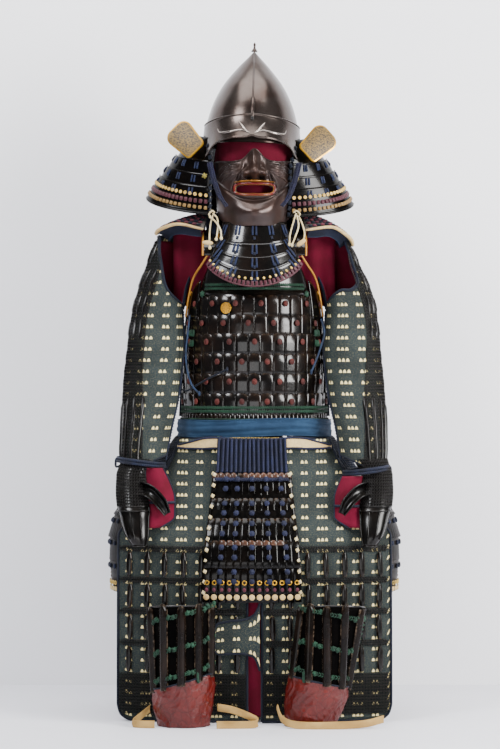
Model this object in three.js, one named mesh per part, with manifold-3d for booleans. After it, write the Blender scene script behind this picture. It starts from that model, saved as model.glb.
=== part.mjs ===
// A samurai armour on its armour box: helmet, half mask, throat guard, cuirass, sleeves,
// hand guards, tassets, thigh guard and shin guards, with the stand that carries them.
// Millimetres, +Z up. The front faces -Y, and +X is on the right of someone facing it.
import * as THREE from 'three';
import { mergeVertices } from 'three/addons/utils/BufferGeometryUtils.js';
import Module from 'manifold-3d';

// ---------------------------------------------------------------- driving dimensions
const GAP = 0.6; // between pieces that lie on each other
const CLOTH = 2.4; // brocade with its lining
const LINING = 1.2; // thin crimson cloth alone
const PLATE = 2.6; // lacquered plate
const STEP = 3; // how far a row stands out over the row above

const APEX_Z = 1572; // top of the helmet bowl
const SPIKE_Z = 1596; // tip of the spike, the highest point
const HEAD_Y = -15; // middle of the helmet, forward of the body's middle
const HELMET_ROLL = 0.03; // the helmet sits a little askew, lower towards +X

const BOX_SIDE = 330; // armour box, square
const BOX_HEIGHT = 420;
const BAR_Z = 1092; // middle of the shoulder bar
const SASH_Z = { top: 694, bottom: 653 };

const PANEL_HALF = 316; // half width of the thigh guard below its bend
const BEND_Z = 412; // where the thigh guard turns down
const SLIT = 17; // half width of the slit between its halves
const CORNER = 35; // radius of its lower corners

const SHIN = { top: 276, leather: 104, halfWidth: 73, footHalf: 64, halfDepth: 56, y: -302 };

// ---------------------------------------------------------------- section tables
// The body under the cuirass, sash and belt, as ellipses.
const BODY = [
  { z: 1110, halfWidth: 118, halfDepth: 98 },
  { z: 1060, halfWidth: 136, halfDepth: 112 },
  { z: 1000, halfWidth: 149, halfDepth: 121 },
  { z: 940, halfWidth: 157, halfDepth: 126 },
  { z: 860, halfWidth: 164, halfDepth: 129 },
  { z: 780, halfWidth: 169, halfDepth: 131 },
  { z: 700, halfWidth: 173, halfDepth: 134 },
  { z: 600, halfWidth: 177, halfDepth: 137 },
];
const CUIRASS_ROWS = [982, 936, 892, 845, 798, 751, 722]; // top of each row, then the hem band

// The pointed bowl: half width by height, the depth is DEPTH_SHARE times that.
const DEPTH_SHARE = 1.12;
const BOWL = [
  { z: APEX_Z, halfWidth: 5 },
  { z: 1558, halfWidth: 16 },
  { z: 1536, halfWidth: 36 },
  { z: 1492, halfWidth: 71 },
  { z: 1450, halfWidth: 93 },
  { z: 1410, halfWidth: 106 },
  { z: 1375, halfWidth: 113 },
  { z: 1346, halfWidth: 115 },
];

// The neck guard from the bowl down to its rim. end is the angle of its front ends from the
// front, and dip is how much lower those ends hang.
const NECK = [
  { v: 0, z: 1370, y: -15, halfWidth: 126, front: 126, back: 142, end: 62, dip: 12 },
  { v: 0.35, z: 1319, y: -12, halfWidth: 176, front: 128, back: 178, end: 52, dip: 22 },
  { v: 0.68, z: 1268, y: -6, halfWidth: 214, front: 148, back: 200, end: 40, dip: 33 },
  { v: 1, z: 1219, y: 0, halfWidth: 247, front: 172, back: 218, end: 30, dip: 42 },
];

// The half mask from its upper edge to the chin.
const MASK = [
  { z: 1335, halfWidth: 92, halfDepth: 84, centreY: -44 },
  { z: 1290, halfWidth: 94, halfDepth: 86, centreY: -44 },
  { z: 1235, halfWidth: 91, halfDepth: 87, centreY: -44 },
  { z: 1190, halfWidth: 84, halfDepth: 88, centreY: -46 },
  { z: 1150, halfWidth: 70, halfDepth: 80, centreY: -48 },
];

// The throat guard's rows: height in the middle, how much the ends rise, and its ellipse.
const THROAT = [
  { z: 1146, rise: 2, halfWidth: 88, halfDepth: 72, frontY: -126 },
  { z: 1106, rise: 14, halfWidth: 98, halfDepth: 77, frontY: -140 },
  { z: 1074, rise: 26, halfWidth: 107, halfDepth: 80, frontY: -150 },
  { z: 1043, rise: 38, halfWidth: 116, halfDepth: 83, frontY: -158 },
  { z: 1012, rise: 50, halfWidth: 125, halfDepth: 86, frontY: -166 },
];

// The sleeves' rings: how far the middle of each sleeve is from the body's middle, and its ellipse.
const SLEEVE = [
  { z: 1130, left: 182, right: 168, y: 5, halfWidth: 50, halfDepth: 46 },
  { z: 1072, left: 193, right: 186, y: 0, halfWidth: 60, halfDepth: 52 },
  { z: 1010, left: 217, right: 217, y: -5, halfWidth: 57, halfDepth: 54 },
  { z: 943, left: 231, right: 231, y: -16, halfWidth: 60, halfDepth: 56 },
  { z: 880, left: 233, right: 231, y: -38, halfWidth: 66, halfDepth: 55 },
  { z: 806, left: 240, right: 236, y: -61, halfWidth: 67, halfDepth: 54 },
  { z: 735, left: 246, right: 243, y: -89, halfWidth: 64, halfDepth: 50 },
  { z: 675, left: 253, right: 250, y: -112, halfWidth: 58, halfDepth: 46 },
  { z: 615, left: 259, right: 254, y: -134, halfWidth: 53, halfDepth: 42 },
  { z: 550, left: 262, right: 258, y: -160, halfWidth: 45, halfDepth: 36 },
];
// The armhole cut of each sleeve: the height of its upper edge by angle, from the inner side
// round the front, the outer side and the back. The right one is cut lower in front.
const ARMHOLE = [
  { angle: -90, left: 957, right: 957 },
  { angle: -16, left: 998, right: 998 },
  { angle: 15, left: 1042, right: 1002 },
  { angle: 42, left: 1090, right: 1032 },
  { angle: 62, left: 1122, right: 1113 },
  { angle: 100, left: 1130, right: 1130 },
  { angle: 180, left: 1124, right: 1124 },
  { angle: 225, left: 1096, right: 1096 },
  { angle: 247.5, left: 1032, right: 1032 },
  { angle: 270, left: 957, right: 957 },
];
const CUFF = { z: 586, slant: 26 };

// The tassets round the sides and back, as ellipses that open towards the hem.
const TASSET = [
  { z: 650, halfWidth: 187, halfDepth: 150 },
  { z: 568, halfWidth: 252, halfDepth: 186 },
  { z: 470, halfWidth: 327, halfDepth: 214 },
  { z: 284, halfWidth: 341, halfDepth: 230 },
];
const TASSET_ROWS = [568, 512, 467, 416, 361, 284]; // top of each row, then the hem
// The front tasset hangs over the thigh guard.
const FRONT_TASSET = [
  { z: 652, halfWidth: 83, y: -177 },
  { z: 568, halfWidth: 87, y: -206 },
  { z: 512, halfWidth: 92, y: -227 },
  { z: 416, halfWidth: 103, y: -273 },
  { z: 361, halfWidth: 108, y: -280 },
  { z: 284, halfWidth: 113, y: -285 },
];

// The thigh guard: its line down the middle, its half width, and how far its sides turn back.
const THIGH = [
  { z: 652, y: -166, halfWidth: 176, back: 77 },
  { z: 600, y: -181, halfWidth: 196, back: 75 },
  { z: 540, y: -204, halfWidth: 230, back: 70 },
  { z: 480, y: -228, halfWidth: 276, back: 64 },
  { z: BEND_Z, y: -254, halfWidth: PANEL_HALF, back: 58 },
  { z: 300, y: -262, halfWidth: PANEL_HALF, back: 52 },
  { z: 0, y: -270, halfWidth: PANEL_HALF, back: 45 },
];

// ---------------------------------------------------------------- small helpers
const mix = THREE.MathUtils.lerp;
const wave = (degrees) => Math.sin(THREE.MathUtils.degToRad(degrees));
const cowave = (degrees) => Math.cos(THREE.MathUtils.degToRad(degrees));
const point = (x, y, z) => new THREE.Vector3(x, y, z);

/** Numbers in even steps from first to last. */
function steps(first, last, count) {
  return Array.from({ length: count + 1 }, (_, i) => mix(first, last, i / count));
}

/** The row of a table at one value of its key column, blended between its neighbours. */
function rowAt(table, key, value) {
  const rising = table.at(-1)[key] > table[0][key];
  const rows = rising ? table : [...table].reverse();
  let upper = rows.findIndex((row) => row[key] >= value);
  if (upper < 0) upper = rows.length - 1;
  if (upper === 0) upper = 1;
  const [a, b] = [rows[upper - 1], rows[upper]];
  const share = THREE.MathUtils.clamp((value - a[key]) / (b[key] - a[key]), 0, 1);
  const blended = {};
  for (const column of Object.keys(a)) blended[column] = mix(a[column], b[column], share);
  return blended;
}

/** The grid of points where each row value meets each column value. */
function grid(rowValues, columnValues, place) {
  return rowValues.map((v, i) => columnValues.map((u, j) => place(v, u, i, j)));
}

/** A grid moved out along its own normals. Rows run down and columns to the right. */
function raised(surface, distance, closed = false) {
  const rows = surface.length;
  const columns = surface[0].length;
  const across = (i, j) => {
    const last = closed ? (j + columns - 1) % columns : Math.max(j - 1, 0);
    const next = closed ? (j + 1) % columns : Math.min(j + 1, columns - 1);
    return surface[i][next].clone().sub(surface[i][last]);
  };
  const down = (i, j) => {
    const below = surface[Math.min(i + 1, rows - 1)][j];
    return below.clone().sub(surface[Math.max(i - 1, 0)][j]);
  };
  const distanceAt = typeof distance === 'function' ? distance : () => distance;
  return surface.map((row, i) => row.map((at, j) => {
    const normal = down(i, j).cross(across(i, j)).normalize();
    return at.clone().addScaledVector(normal, distanceAt(i, j));
  }));
}

/** A closed wall between an outer and an inner grid, whose columns may close on themselves. */
function wall(outer, inner, closed = false) {
  const rows = outer.length;
  const columns = outer[0].length;
  const spans = closed ? columns : columns - 1;
  const positions = [outer, inner].flat(2).flatMap((p) => [p.x, p.y, p.z]);
  const id = (side, i, j) => (side * rows + i) * columns + (j % columns);
  const indices = [];
  const quad = (a, b, c, d) => indices.push(a, b, c, a, c, d);
  for (let i = 0; i < rows - 1; i += 1) {
    for (let j = 0; j < spans; j += 1) {
      quad(id(0, i, j), id(0, i + 1, j), id(0, i + 1, j + 1), id(0, i, j + 1));
      quad(id(1, i, j), id(1, i, j + 1), id(1, i + 1, j + 1), id(1, i + 1, j));
    }
  }
  for (let j = 0; j < spans; j += 1) {
    quad(id(0, 0, j + 1), id(1, 0, j + 1), id(1, 0, j), id(0, 0, j));
    quad(id(0, rows - 1, j), id(1, rows - 1, j), id(1, rows - 1, j + 1), id(0, rows - 1, j + 1));
  }
  if (!closed) {
    for (let i = 0; i < rows - 1; i += 1) {
      quad(id(0, i, 0), id(1, i, 0), id(1, i + 1, 0), id(0, i + 1, 0));
      const last = columns - 1;
      quad(id(0, i + 1, last), id(1, i + 1, last), id(1, i, last), id(0, i, last));
    }
  }
  const geometry = new THREE.BufferGeometry();
  geometry.setAttribute('position', new THREE.Float32BufferAttribute(positions, 3));
  geometry.setIndex(indices);
  return facingOut(geometry);
}

/** A wall of one thickness behind a grid. */
function sheet(surface, thickness, closed = false) {
  return wall(surface, raised(surface, -thickness, closed), closed);
}

/** Turns a closed geometry's faces outwards where its volume comes out negative. */
function facingOut(geometry) {
  const at = geometry.getAttribute('position');
  const index = geometry.getIndex();
  const [a, b, c] = [point(0, 0, 0), point(0, 0, 0), point(0, 0, 0)];
  let volume = 0;
  for (let i = 0; i < index.count; i += 3) {
    a.fromBufferAttribute(at, index.getX(i));
    b.fromBufferAttribute(at, index.getX(i + 1));
    c.fromBufferAttribute(at, index.getX(i + 2));
    volume += a.dot(b.cross(c));
  }
  if (volume < 0) geometry.setIndex(Array.from(index.array).reverse());
  return geometry;
}

/** A geometry on one side: side is 1 towards +X and -1 towards -X. */
function onSide(geometry, side) {
  const indexed = geometry.getIndex() ? geometry : welded(geometry);
  return facingOut(indexed.scale(side, 1, 1));
}

/** A geometry with its shared corners merged. */
function welded(geometry) {
  const plain = geometry.clone();
  for (const name of Object.keys(plain.attributes)) {
    if (name !== 'position') plain.deleteAttribute(name);
  }
  return mergeVertices(plain, 1e-3);
}

const wasm = await Module();
wasm.setup();

/** A closed geometry as a solid for joining and cutting. */
function solid(geometry) {
  const closed = facingOut(welded(geometry));
  return new wasm.Manifold(new wasm.Mesh({
    numProp: 3,
    vertProperties: Float32Array.from(closed.getAttribute('position').array),
    triVerts: Uint32Array.from(closed.getIndex().array),
  }));
}

/** A solid back as a geometry. */
function fromSolid(body) {
  const mesh = body.getMesh();
  const geometry = new THREE.BufferGeometry();
  geometry.setAttribute('position', new THREE.Float32BufferAttribute(mesh.vertProperties, 3));
  geometry.setIndex(Array.from(mesh.triVerts));
  return geometry;
}

/** Several closed geometries joined into one. */
function joined(...geometries) {
  return fromSolid(geometries.map(solid).reduce((all, next) => all.add(next)));
}

/** A round cord through a few points, open at both ends, each end capped. */
function cord(places, radius, count, sides = 8) {
  const section = new THREE.Shape();
  for (let i = 0; i < sides; i += 1) {
    const turn = (i / sides) * Math.PI * 2;
    const to = i === 0 ? 'moveTo' : 'lineTo';
    section[to](radius * Math.cos(turn), radius * Math.sin(turn));
  }
  const extrudePath = new THREE.CatmullRomCurve3(places.map((p) => point(...p)));
  return new THREE.ExtrudeGeometry(section, { steps: count, extrudePath, bevelEnabled: false });
}

/** A flat tape that stands on edge along a few points, each the middle of its lower edge. */
function tape(places, width, thickness, count) {
  const path = new THREE.CatmullRomCurve3(places.map((p) => point(...p)));
  const along = steps(0, 1, count).map((share) => path.getPoint(share));
  for (const p of along) p.z = Math.max(p.z, 0);
  const surface = [along.map((p) => p.clone().setZ(p.z + width)), along];
  return sheet(surface, thickness);
}

const group = new THREE.Group();

// The helmet's pieces turn together about the apex of the bowl.
const helmet = new THREE.Group();
helmet.position.z = -APEX_Z;
const pivot = new THREE.Group();
pivot.position.z = APEX_Z;
pivot.rotation.y = HELMET_ROLL;
pivot.add(helmet);
group.add(pivot);

/** Adds one named piece with its own material. */
function add(name, geometry, finish, parent = group) {
  const mesh = new THREE.Mesh(geometry, new THREE.MeshStandardMaterial(finish));
  mesh.name = name;
  parent.add(mesh);
}

// The shoulder wings droop and the wrist ties sit differently on the two sides.
const SIDES = [
  { name: 'left', side: -1, droop: 34, tieZ: 593 },
  { name: 'right', side: 1, droop: 48, tieZ: 574 },
];
const LACQUER = { color: '#1d1613', roughness: 0.25, metalness: 0.1 };
const IRON = { color: '#5a534f', roughness: 0.3, metalness: 0.8 };
const BROCADE = { color: '#47625f', roughness: 0.85, metalness: 0 };
const CRIMSON = { color: '#7a0a28', roughness: 0.9, metalness: 0 };
const NAVY = { color: '#1d2742', roughness: 0.8, metalness: 0 };
const MAIL = { color: '#2a2523', roughness: 0.5, metalness: 0.6 };
const LEATHER = { color: '#c9a869', roughness: 0.6, metalness: 0 };
const WOOD = { color: '#3a2418', roughness: 0.5, metalness: 0 };

/** A place on the body's ellipse at one height, moved out. Angle 0 is the front. */
function onBody(angle, z, out) {
  const row = rowAt(BODY, 'z', z);
  return point((row.halfWidth + out) * wave(angle), -(row.halfDepth + out) * cowave(angle), z);
}

/** The heights and offsets of rows that each stand out over the row above. */
function stepped(tops) {
  const rows = [];
  for (let i = 0; i < tops.length - 1; i += 1) {
    rows.push({ z: tops[i], out: STEP }, { z: tops[i + 1] + 0.8, out: 0.4 });
  }
  return rows;
}

// ---------------------------------------------------------------- stand
function stand() {
  const box = new THREE.BoxGeometry(BOX_SIDE, BOX_SIDE, BOX_HEIGHT);
  box.translate(0, 0, BOX_HEIGHT / 2);
  const post = new THREE.CylinderGeometry(17, 20, 1150 - BOX_HEIGHT, 10);
  post.rotateX(Math.PI / 2).translate(0, 0, (1150 + BOX_HEIGHT) / 2 - 5);
  const bar = new THREE.BoxGeometry(180, 26, 20);
  bar.translate(0, 0, BAR_Z);
  add('armour_stand', joined(box, post, bar), WOOD);

  const profile = steps(-90, 90, 9).map((turn) => new THREE.Vector2(
    Math.max(84 * cowave(turn), 0) * (turn < 0 ? 1 + turn / 400 : 1),
    turn < 0 ? 128 * wave(turn) : 118 * wave(turn),
  ));
  profile[0].x = 0;
  profile.at(-1).x = 0;
  const head = new THREE.LatheGeometry(profile, 16);
  head.rotateX(Math.PI / 2).scale(0.98, 1.05, 1).translate(0, -28, 1304);
  const socket = new THREE.CylinderGeometry(22, 22, 60, 10);
  socket.rotateX(Math.PI / 2).translate(0, 0, 1176.5);
  add('head_form', joined(head, socket), CRIMSON);
}

// ---------------------------------------------------------------- helmet
/** A place on the bowl at one height, moved out. */
function onBowl(angle, z, out) {
  const { halfWidth } = rowAt(BOWL, 'z', z);
  const y = HEAD_Y - (halfWidth * DEPTH_SHARE + out) * cowave(angle);
  return point((halfWidth + out) * wave(angle), y, z);
}

function helmetBowl() {
  const surface = grid(BOWL.map((row) => row.z), steps(0, 337.5, 15), (z, a) => onBowl(a, z, 0));
  add('helmet_bowl', sheet(surface, PLATE, true), IRON, helmet);
}

/** The upright rib down the bowl's front, with the crest holder and the spike. */
function helmetRib() {
  const strip = (heights, half, out) => {
    const edges = [-half, half];
    const outer = grid(heights, edges, (z, x) => onBowl(0, z, out).setX(x));
    return wall(outer, grid(heights, edges, (z, x) => onBowl(0, z, 0.5).setX(x)));
  };
  const rib = strip([1575, 1558, 1536, 1492, 1450, 1426], 2.6, 5.5);
  const holder = strip([1452, 1436, 1418], 5.5, 8);
  const spike = new THREE.LatheGeometry([
    [0, 0.4], [8, 0.4], [6.5, 4], [3.4, 8], [2.4, 14], [3.6, 18], [2, 21], [0, SPIKE_Z - APEX_Z],
  ].map(([x, y]) => new THREE.Vector2(x, y)), 10);
  spike.rotateX(Math.PI / 2).translate(0, HEAD_Y, APEX_Z);
  add('helmet_rib', joined(rib, holder, spike), IRON, helmet);
}

function browVisor() {
  const surface = grid(steps(0, 1, 3), steps(-82, 82, 14), (v, angle) => {
    const side = Math.abs(angle) / 82;
    const top = 1412 - 21 * side ** 1.4;
    const bottom = 1358 - 48 * side ** 1.8;
    const edge = onBowl(angle, top, 2.4);
    const flare = 16 - 9 * side;
    const lip = onBowl(angle, 1380, 2 + flare);
    return point(mix(edge.x, lip.x, v), mix(edge.y, lip.y, v), mix(top, bottom, v));
  });
  add('brow_visor', wall(raised(surface, PLATE), surface), IRON, helmet);
}

/** A rounded paddle, broader towards its outer end. */
function earWing(side) {
  const [base, tip, length, round] = [29, 34, 74, 20];
  const shape = new THREE.Shape();
  shape.moveTo(-base, 0);
  shape.lineTo(base, 0);
  shape.lineTo(tip, length - round);
  shape.quadraticCurveTo(tip, length, tip - round, length + 3);
  shape.lineTo(round - tip, length + 3);
  shape.quadraticCurveTo(-tip, length, -tip, length - round);
  shape.closePath();
  const wing = new THREE.ExtrudeGeometry(shape, { depth: 4, bevelEnabled: false, curveSegments: 4 });
  wing.rotateZ(-0.82).rotateX(Math.PI / 2 - 0.18).rotateZ(0.3).translate(128, -104, 1322);
  return onSide(welded(wing), side);
}

/** A place on the neck guard: v from the bowl to the rim, u from one front end to the other. */
function onNeck(v, u) {
  const row = rowAt(NECK, 'v', v);
  const angle = mix(row.end, 360 - row.end, u);
  const toFront = Math.max(cowave(angle), 0) / cowave(row.end);
  const depth = cowave(angle) > 0 ? row.front : row.back;
  const z = row.z - row.dip * toFront - 16 * v * Math.max(-cowave(angle), 0);
  return point(row.halfWidth * wave(angle), row.y - depth * cowave(angle), z);
}

function neckGuard() {
  const around = steps(0, 1, 18);
  const upperRows = [
    { v: 0.02, out: 0 }, { v: 0.345, out: 0 }, { v: 0.35, out: STEP },
    { v: 0.515, out: 0.4 }, { v: 0.52, out: STEP }, { v: 0.67, out: 0.4 },
  ];
  const upper = grid(upperRows.map((row) => row.v), around, (v, u) => onNeck(v, 1 - u));
  const lifted = raised(upper, (i) => upperRows[i].out);
  add('neck_guard_upper', wall(lifted, raised(upper, -PLATE)), LACQUER, helmet);
  const rim = grid([0.64, 0.82, 1], around, (v, u) => onNeck(v, 1 - u));
  const outside = STEP + 1.4;
  add('neck_guard_rim', wall(raised(rim, outside), raised(rim, outside - PLATE)), LACQUER, helmet);
}

// ---------------------------------------------------------------- mask and throat guard
/** How far the mask's relief stands out at a place on its front. */
function maskRelief(x, z) {
  const hill = (cx, cz, width, height, rise) => (
    rise * Math.exp(-(((x - cx) / width) ** 2) - ((z - cz) / height) ** 2));
  const nose = hill(0, 1278, 22, 17, 24) + hill(0, 1306, 11, 28, 13);
  const cheeks = hill(-52, 1262, 24, 26, 9) + hill(52, 1262, 24, 26, 9);
  const lips = hill(0, 1248, 42, 9, 6) + hill(0, 1222, 40, 9, 8);
  const chin = hill(0, 1182, 34, 22, 14);
  return nose + cheeks + lips + chin;
}

/** A place on the mask: v from its upper edge to the chin. */
function onMask(angle, v) {
  const side = Math.abs(angle) / 84;
  const top = 1304 + 26 * Math.exp(-((angle / 12) ** 2));
  const bottom = 1155 + 62 * side ** 2.2;
  const z = mix(top, bottom, v);
  const row = rowAt(MASK, 'z', z);
  const x = row.halfWidth * wave(angle);
  const out = maskRelief(x, z);
  const reach = row.halfDepth + out;
  return point(x + out * 0.3 * wave(angle), row.centreY - reach * cowave(angle), z);
}

function mask() {
  const angles = [-84, -70, -57, -45, -34, -24, -16, -9, -3, 3, 9, 16, 24, 34, 45, 57, 70, 84];
  const surface = grid(steps(0, 1, 11), angles, (v, angle) => onMask(angle, v));
  const mouth = new THREE.Shape();
  mouth.absellipse(0, 0, 44, 9, 0, Math.PI * 2);
  const cutter = new THREE.ExtrudeGeometry(mouth, {
    depth: 120, bevelEnabled: false, curveSegments: 8,
  });
  cutter.rotateX(Math.PI / 2).translate(0, -80, 1235);
  const body = solid(sheet(surface, PLATE)).subtract(solid(cutter));
  add('mask', fromSolid(body), { color: '#4b3b37', roughness: 0.4, metalness: 0.3 });
}

function throatGuard() {
  const tops = THROAT.map((row) => row.z);
  const rows = stepped(tops);
  const surface = grid(rows, steps(-60, 60, 10), ({ z }, angle) => {
    const row = rowAt(THROAT, 'z', z);
    const rise = (row.rise * (1 - cowave(angle))) / (1 - cowave(60));
    const y = row.frontY + row.halfDepth * (1 - cowave(angle));
    return point(row.halfWidth * wave(angle), y, z + rise);
  });
  const lifted = raised(surface, (i) => rows[i].out);
  add('throat_guard', wall(lifted, raised(surface, -PLATE)), LACQUER);
}

// ---------------------------------------------------------------- cuirass
function cuirass() {
  const chest = grid(steps(1083, 1001, 4), steps(-1, 1, 10), (z, u) => (
    onBody(u * mix(62, 49, (z - 1001) / 82), z, 0)));
  add('chest_plate', sheet(chest, PLATE), LACQUER);

  const rows = [{ z: 1000, out: 0 }, { z: 983, out: 0 }, ...stepped(CUIRASS_ROWS),
    { z: 690, out: 2 }];
  const backRows = [{ z: 1083, out: 0 }, { z: 1042, out: 0 }, { z: 1003, out: 0 }, ...rows];
  const shell = (middle, profile) => {
    // Above the rows only the back's upper plate is left, between the armholes.
    const spread = (z) => (z > 1000 ? mix(80, 62, (z - 1001) / 82) : 88.5);
    const place = (out) => (row, u) => onBody(middle + u * spread(row.z), row.z, out ?? row.out);
    const across = steps(-1, 1, 12);
    return wall(grid(profile, across, place()), grid(profile, across, place(-PLATE)));
  };
  add('cuirass_front', shell(0, rows), LACQUER);
  add('cuirass_back', shell(180, backRows), LACQUER);
}

function shoulderStrap(side) {
  const surface = grid(steps(-96, 96, 10), [84, 122], (turn, x) => (
    point(x, 99 * wave(turn) * 1.006, 1086 + 50 * cowave(turn))));
  return onSide(wall(surface, raised(surface, 4)), side);
}

/** A plate that stands along the front of an armhole. */
function armholeGuard(side) {
  const surface = grid(steps(0, 1, 4), steps(58, 87, 4), (v, angle) => {
    const top = mix(1024, 962, ((angle - 58) / 29) ** 1.3);
    return onBody(angle, mix(top, 932, v), STEP + GAP + PLATE);
  });
  return onSide(sheet(surface, PLATE), side);
}

/** A crescent over the shoulder, drooping outwards. */
function shoulderWing(side, droop) {
  const surface = grid(steps(0.18, 1, 4), steps(-84, 84, 12), (reach, turn) => {
    const x = 108 + 128 * reach * cowave(turn);
    return point(x, 84 * reach * wave(turn), 1181 - droop * reach ** 1.8 * (0.45 + 0.55 * cowave(turn)));
  });
  return onSide(sheet(surface, 5), side);
}

function sash() {
  const rows = [SASH_Z.top, mix(SASH_Z.top, SASH_Z.bottom, 0.5), SASH_Z.bottom];
  const surface = grid(rows, steps(0, 345, 23), (z, a, i) => onBody(a, z, i === 1 ? 12 : 9));
  add('sash', sheet(surface, 3.5, true), { color: '#2f5f8f', roughness: 0.85, metalness: 0 });
}

/** The crimson yoke that joins the sleeves round the back of the neck. */
function yoke() {
  const surface = grid(steps(0, 1, 3), steps(38, 322, 16), (v, angle) => {
    const depth = cowave(angle) > 0 ? mix(74, 92, v) : mix(60, 64, v);
    return point(mix(93, 116, v) * wave(angle), -depth * cowave(angle), 1121 - 44 * v ** 2.2);
  });
  add('yoke', sheet(surface, LINING), CRIMSON);
}

// ---------------------------------------------------------------- sleeves and hands
/** A place on a sleeve: v from the armhole to the cuff, angle 0 at the front, 90 outside. */
function onSleeve(name, angle, v) {
  const top = rowAt(ARMHOLE, 'angle', angle)[name];
  const z = mix(top, CUFF.z - CUFF.slant * wave(angle), v);
  const row = rowAt(SLEEVE, 'z', z);
  return point(row[name] + row.halfWidth * wave(angle), row.y - row.halfDepth * cowave(angle), z);
}

function sleeve(name, side) {
  const around = steps(-90, 247.5, 15);
  const surface = grid(steps(0, 1, 8), around, (v, angle) => onSleeve(name, angle, v));
  return onSide(sheet(surface, CLOTH, true), side);
}

function sleeveLining(name, side) {
  const around = steps(-90, 247.5, 15);
  const surface = grid(steps(0, 0.5, 4), around, (v, angle) => onSleeve(name, angle, v));
  const outer = raised(surface, -CLOTH - 4.5 * GAP, true);
  return onSide(wall(outer, raised(surface, -CLOTH - 4.5 * GAP - LINING, true), true), side);
}

/** The mail and splints on the outer side of a sleeve. */
function sleeveSplints(name, side) {
  const down = [0.02, ...steps(0.125, 0.875, 6), 0.985];
  const surface = grid(down, steps(22.5, 157.5, 6), (v, angle) => onSleeve(name, angle, v));
  return onSide(wall(raised(surface, 2 * GAP + 3), raised(surface, 2 * GAP)), side);
}

const HAND = [
  { z: 566, x: 286, y: -172, halfWidth: 33 },
  { z: 520, x: 282, y: -197, halfWidth: 37 },
  { z: 470, x: 276, y: -222, halfWidth: 34 },
  { z: 430, x: 270, y: -242, halfWidth: 26 },
  { z: 405, x: 264, y: -251, halfWidth: 15 },
];

/** The plates over the back of the hand and the fingers, with the thumb's plate. */
function handGuard(side) {
  const surface = grid(steps(566, 405, 6), steps(-58, 96, 8), (z, angle) => {
    const row = rowAt(HAND, 'z', z);
    return point(row.x + row.halfWidth * wave(angle), row.y - 0.8 * row.halfWidth * cowave(angle), z);
  });
  const thumb = cord([[270, -214, 537], [243, -233, 530], [217, -242, 506], [201, -240, 478]], 9, 6);
  return onSide(joined(sheet(surface, PLATE), thumb), side);
}

const PALM = [
  { z: 588, x: 223, y: -194, halfWidth: 30 },
  { z: 555, x: 217, y: -202, halfWidth: 35 },
  { z: 510, x: 213, y: -214, halfWidth: 34 },
  { z: 470, x: 218, y: -228, halfWidth: 27 },
  { z: 446, x: 228, y: -238, halfWidth: 14 },
];

function palm(side, top) {
  const surface = grid(steps(top, 446, 5), steps(-1, 1, 4), (z, u) => {
    const row = rowAt(PALM, 'z', z);
    return point(row.x + row.halfWidth * u, row.y + 9 * u * u, z);
  });
  return onSide(sheet(surface, CLOTH), side);
}

/** A tie round the wrist, lower on its inner side. */
function wristTie(name, side, z) {
  const row = rowAt(SLEEVE, 'z', z);
  const surface = grid([5, -5], steps(0, 337.5, 15), (up, angle) => point(
    row[name] + 5 + (row.halfWidth + 10) * wave(angle),
    row.y - 5 - (row.halfDepth + 17) * cowave(angle),
    z + up + 6 * wave(angle),
  ));
  return onSide(sheet(surface, 4, true), side);
}

// ---------------------------------------------------------------- tassets and thigh guard
/** A tasset at the side or back, whose rows step out below a plain stretch of lacing. */
function tasset(middle, half) {
  const rows = [{ z: 650, out: 0 }, { z: 569, out: 0 }, ...stepped(TASSET_ROWS)];
  const surface = grid(rows, steps(-half, half, 4), ({ z }, turn) => {
    const row = rowAt(TASSET, 'z', z);
    return point(row.halfWidth * wave(middle + turn), -row.halfDepth * cowave(middle + turn), z);
  });
  return wall(raised(surface, (i) => rows[i].out), raised(surface, -PLATE));
}

/** A place on the front tasset, whose sides turn back a little. */
function onFrontTasset(u, z) {
  const row = rowAt(FRONT_TASSET, 'z', z);
  return point(row.halfWidth * u - 6, row.y + 12 * u * u, z);
}

function frontTasset() {
  const lacing = grid(steps(652, 570, 2), steps(-1, 1, 4), (z, u) => onFrontTasset(u * 0.97, z));
  add('front_tasset_lacing', sheet(lacing, 2), NAVY);
  const rows = stepped(TASSET_ROWS);
  const surface = grid(rows, steps(-1, 1, 6), ({ z }, u) => onFrontTasset(u, z));
  const lifted = raised(surface, (i) => rows[i].out);
  add('front_tasset', wall(lifted, raised(surface, -PLATE)), LACQUER);
}

/** A place on the thigh guard at a share of its half width. */
function onThigh(u, z) {
  const row = rowAt(THIGH, 'z', z);
  return point(row.halfWidth * u, row.y + row.back * Math.abs(u) ** 2.4, z);
}

/** The lower edge of the thigh guard, with its rounded corner. */
function hemZ(x) {
  const into = Math.max(x - (PANEL_HALF - CORNER), 0);
  return 4 + CORNER - Math.sqrt(Math.max(CORNER ** 2 - into ** 2, 0));
}

const PANEL_COLUMNS = [0, 0.25, 0.5, 0.72, 0.88, 0.945, 0.98, 1];

/** One half of the thigh guard between two heights. */
function thighHalf(rows, edge = 0) {
  return grid(rows, PANEL_COLUMNS, (z, share) => {
    const inner = z > BEND_Z ? 2 : SLIT;
    const { halfWidth } = rowAt(THIGH, 'z', z);
    const u = mix(inner + edge, halfWidth - edge, share) / halfWidth;
    const low = hemZ(halfWidth * u) + edge;
    return onThigh(u, z === 0 ? low : Math.max(z, low + 3));
  });
}

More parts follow.
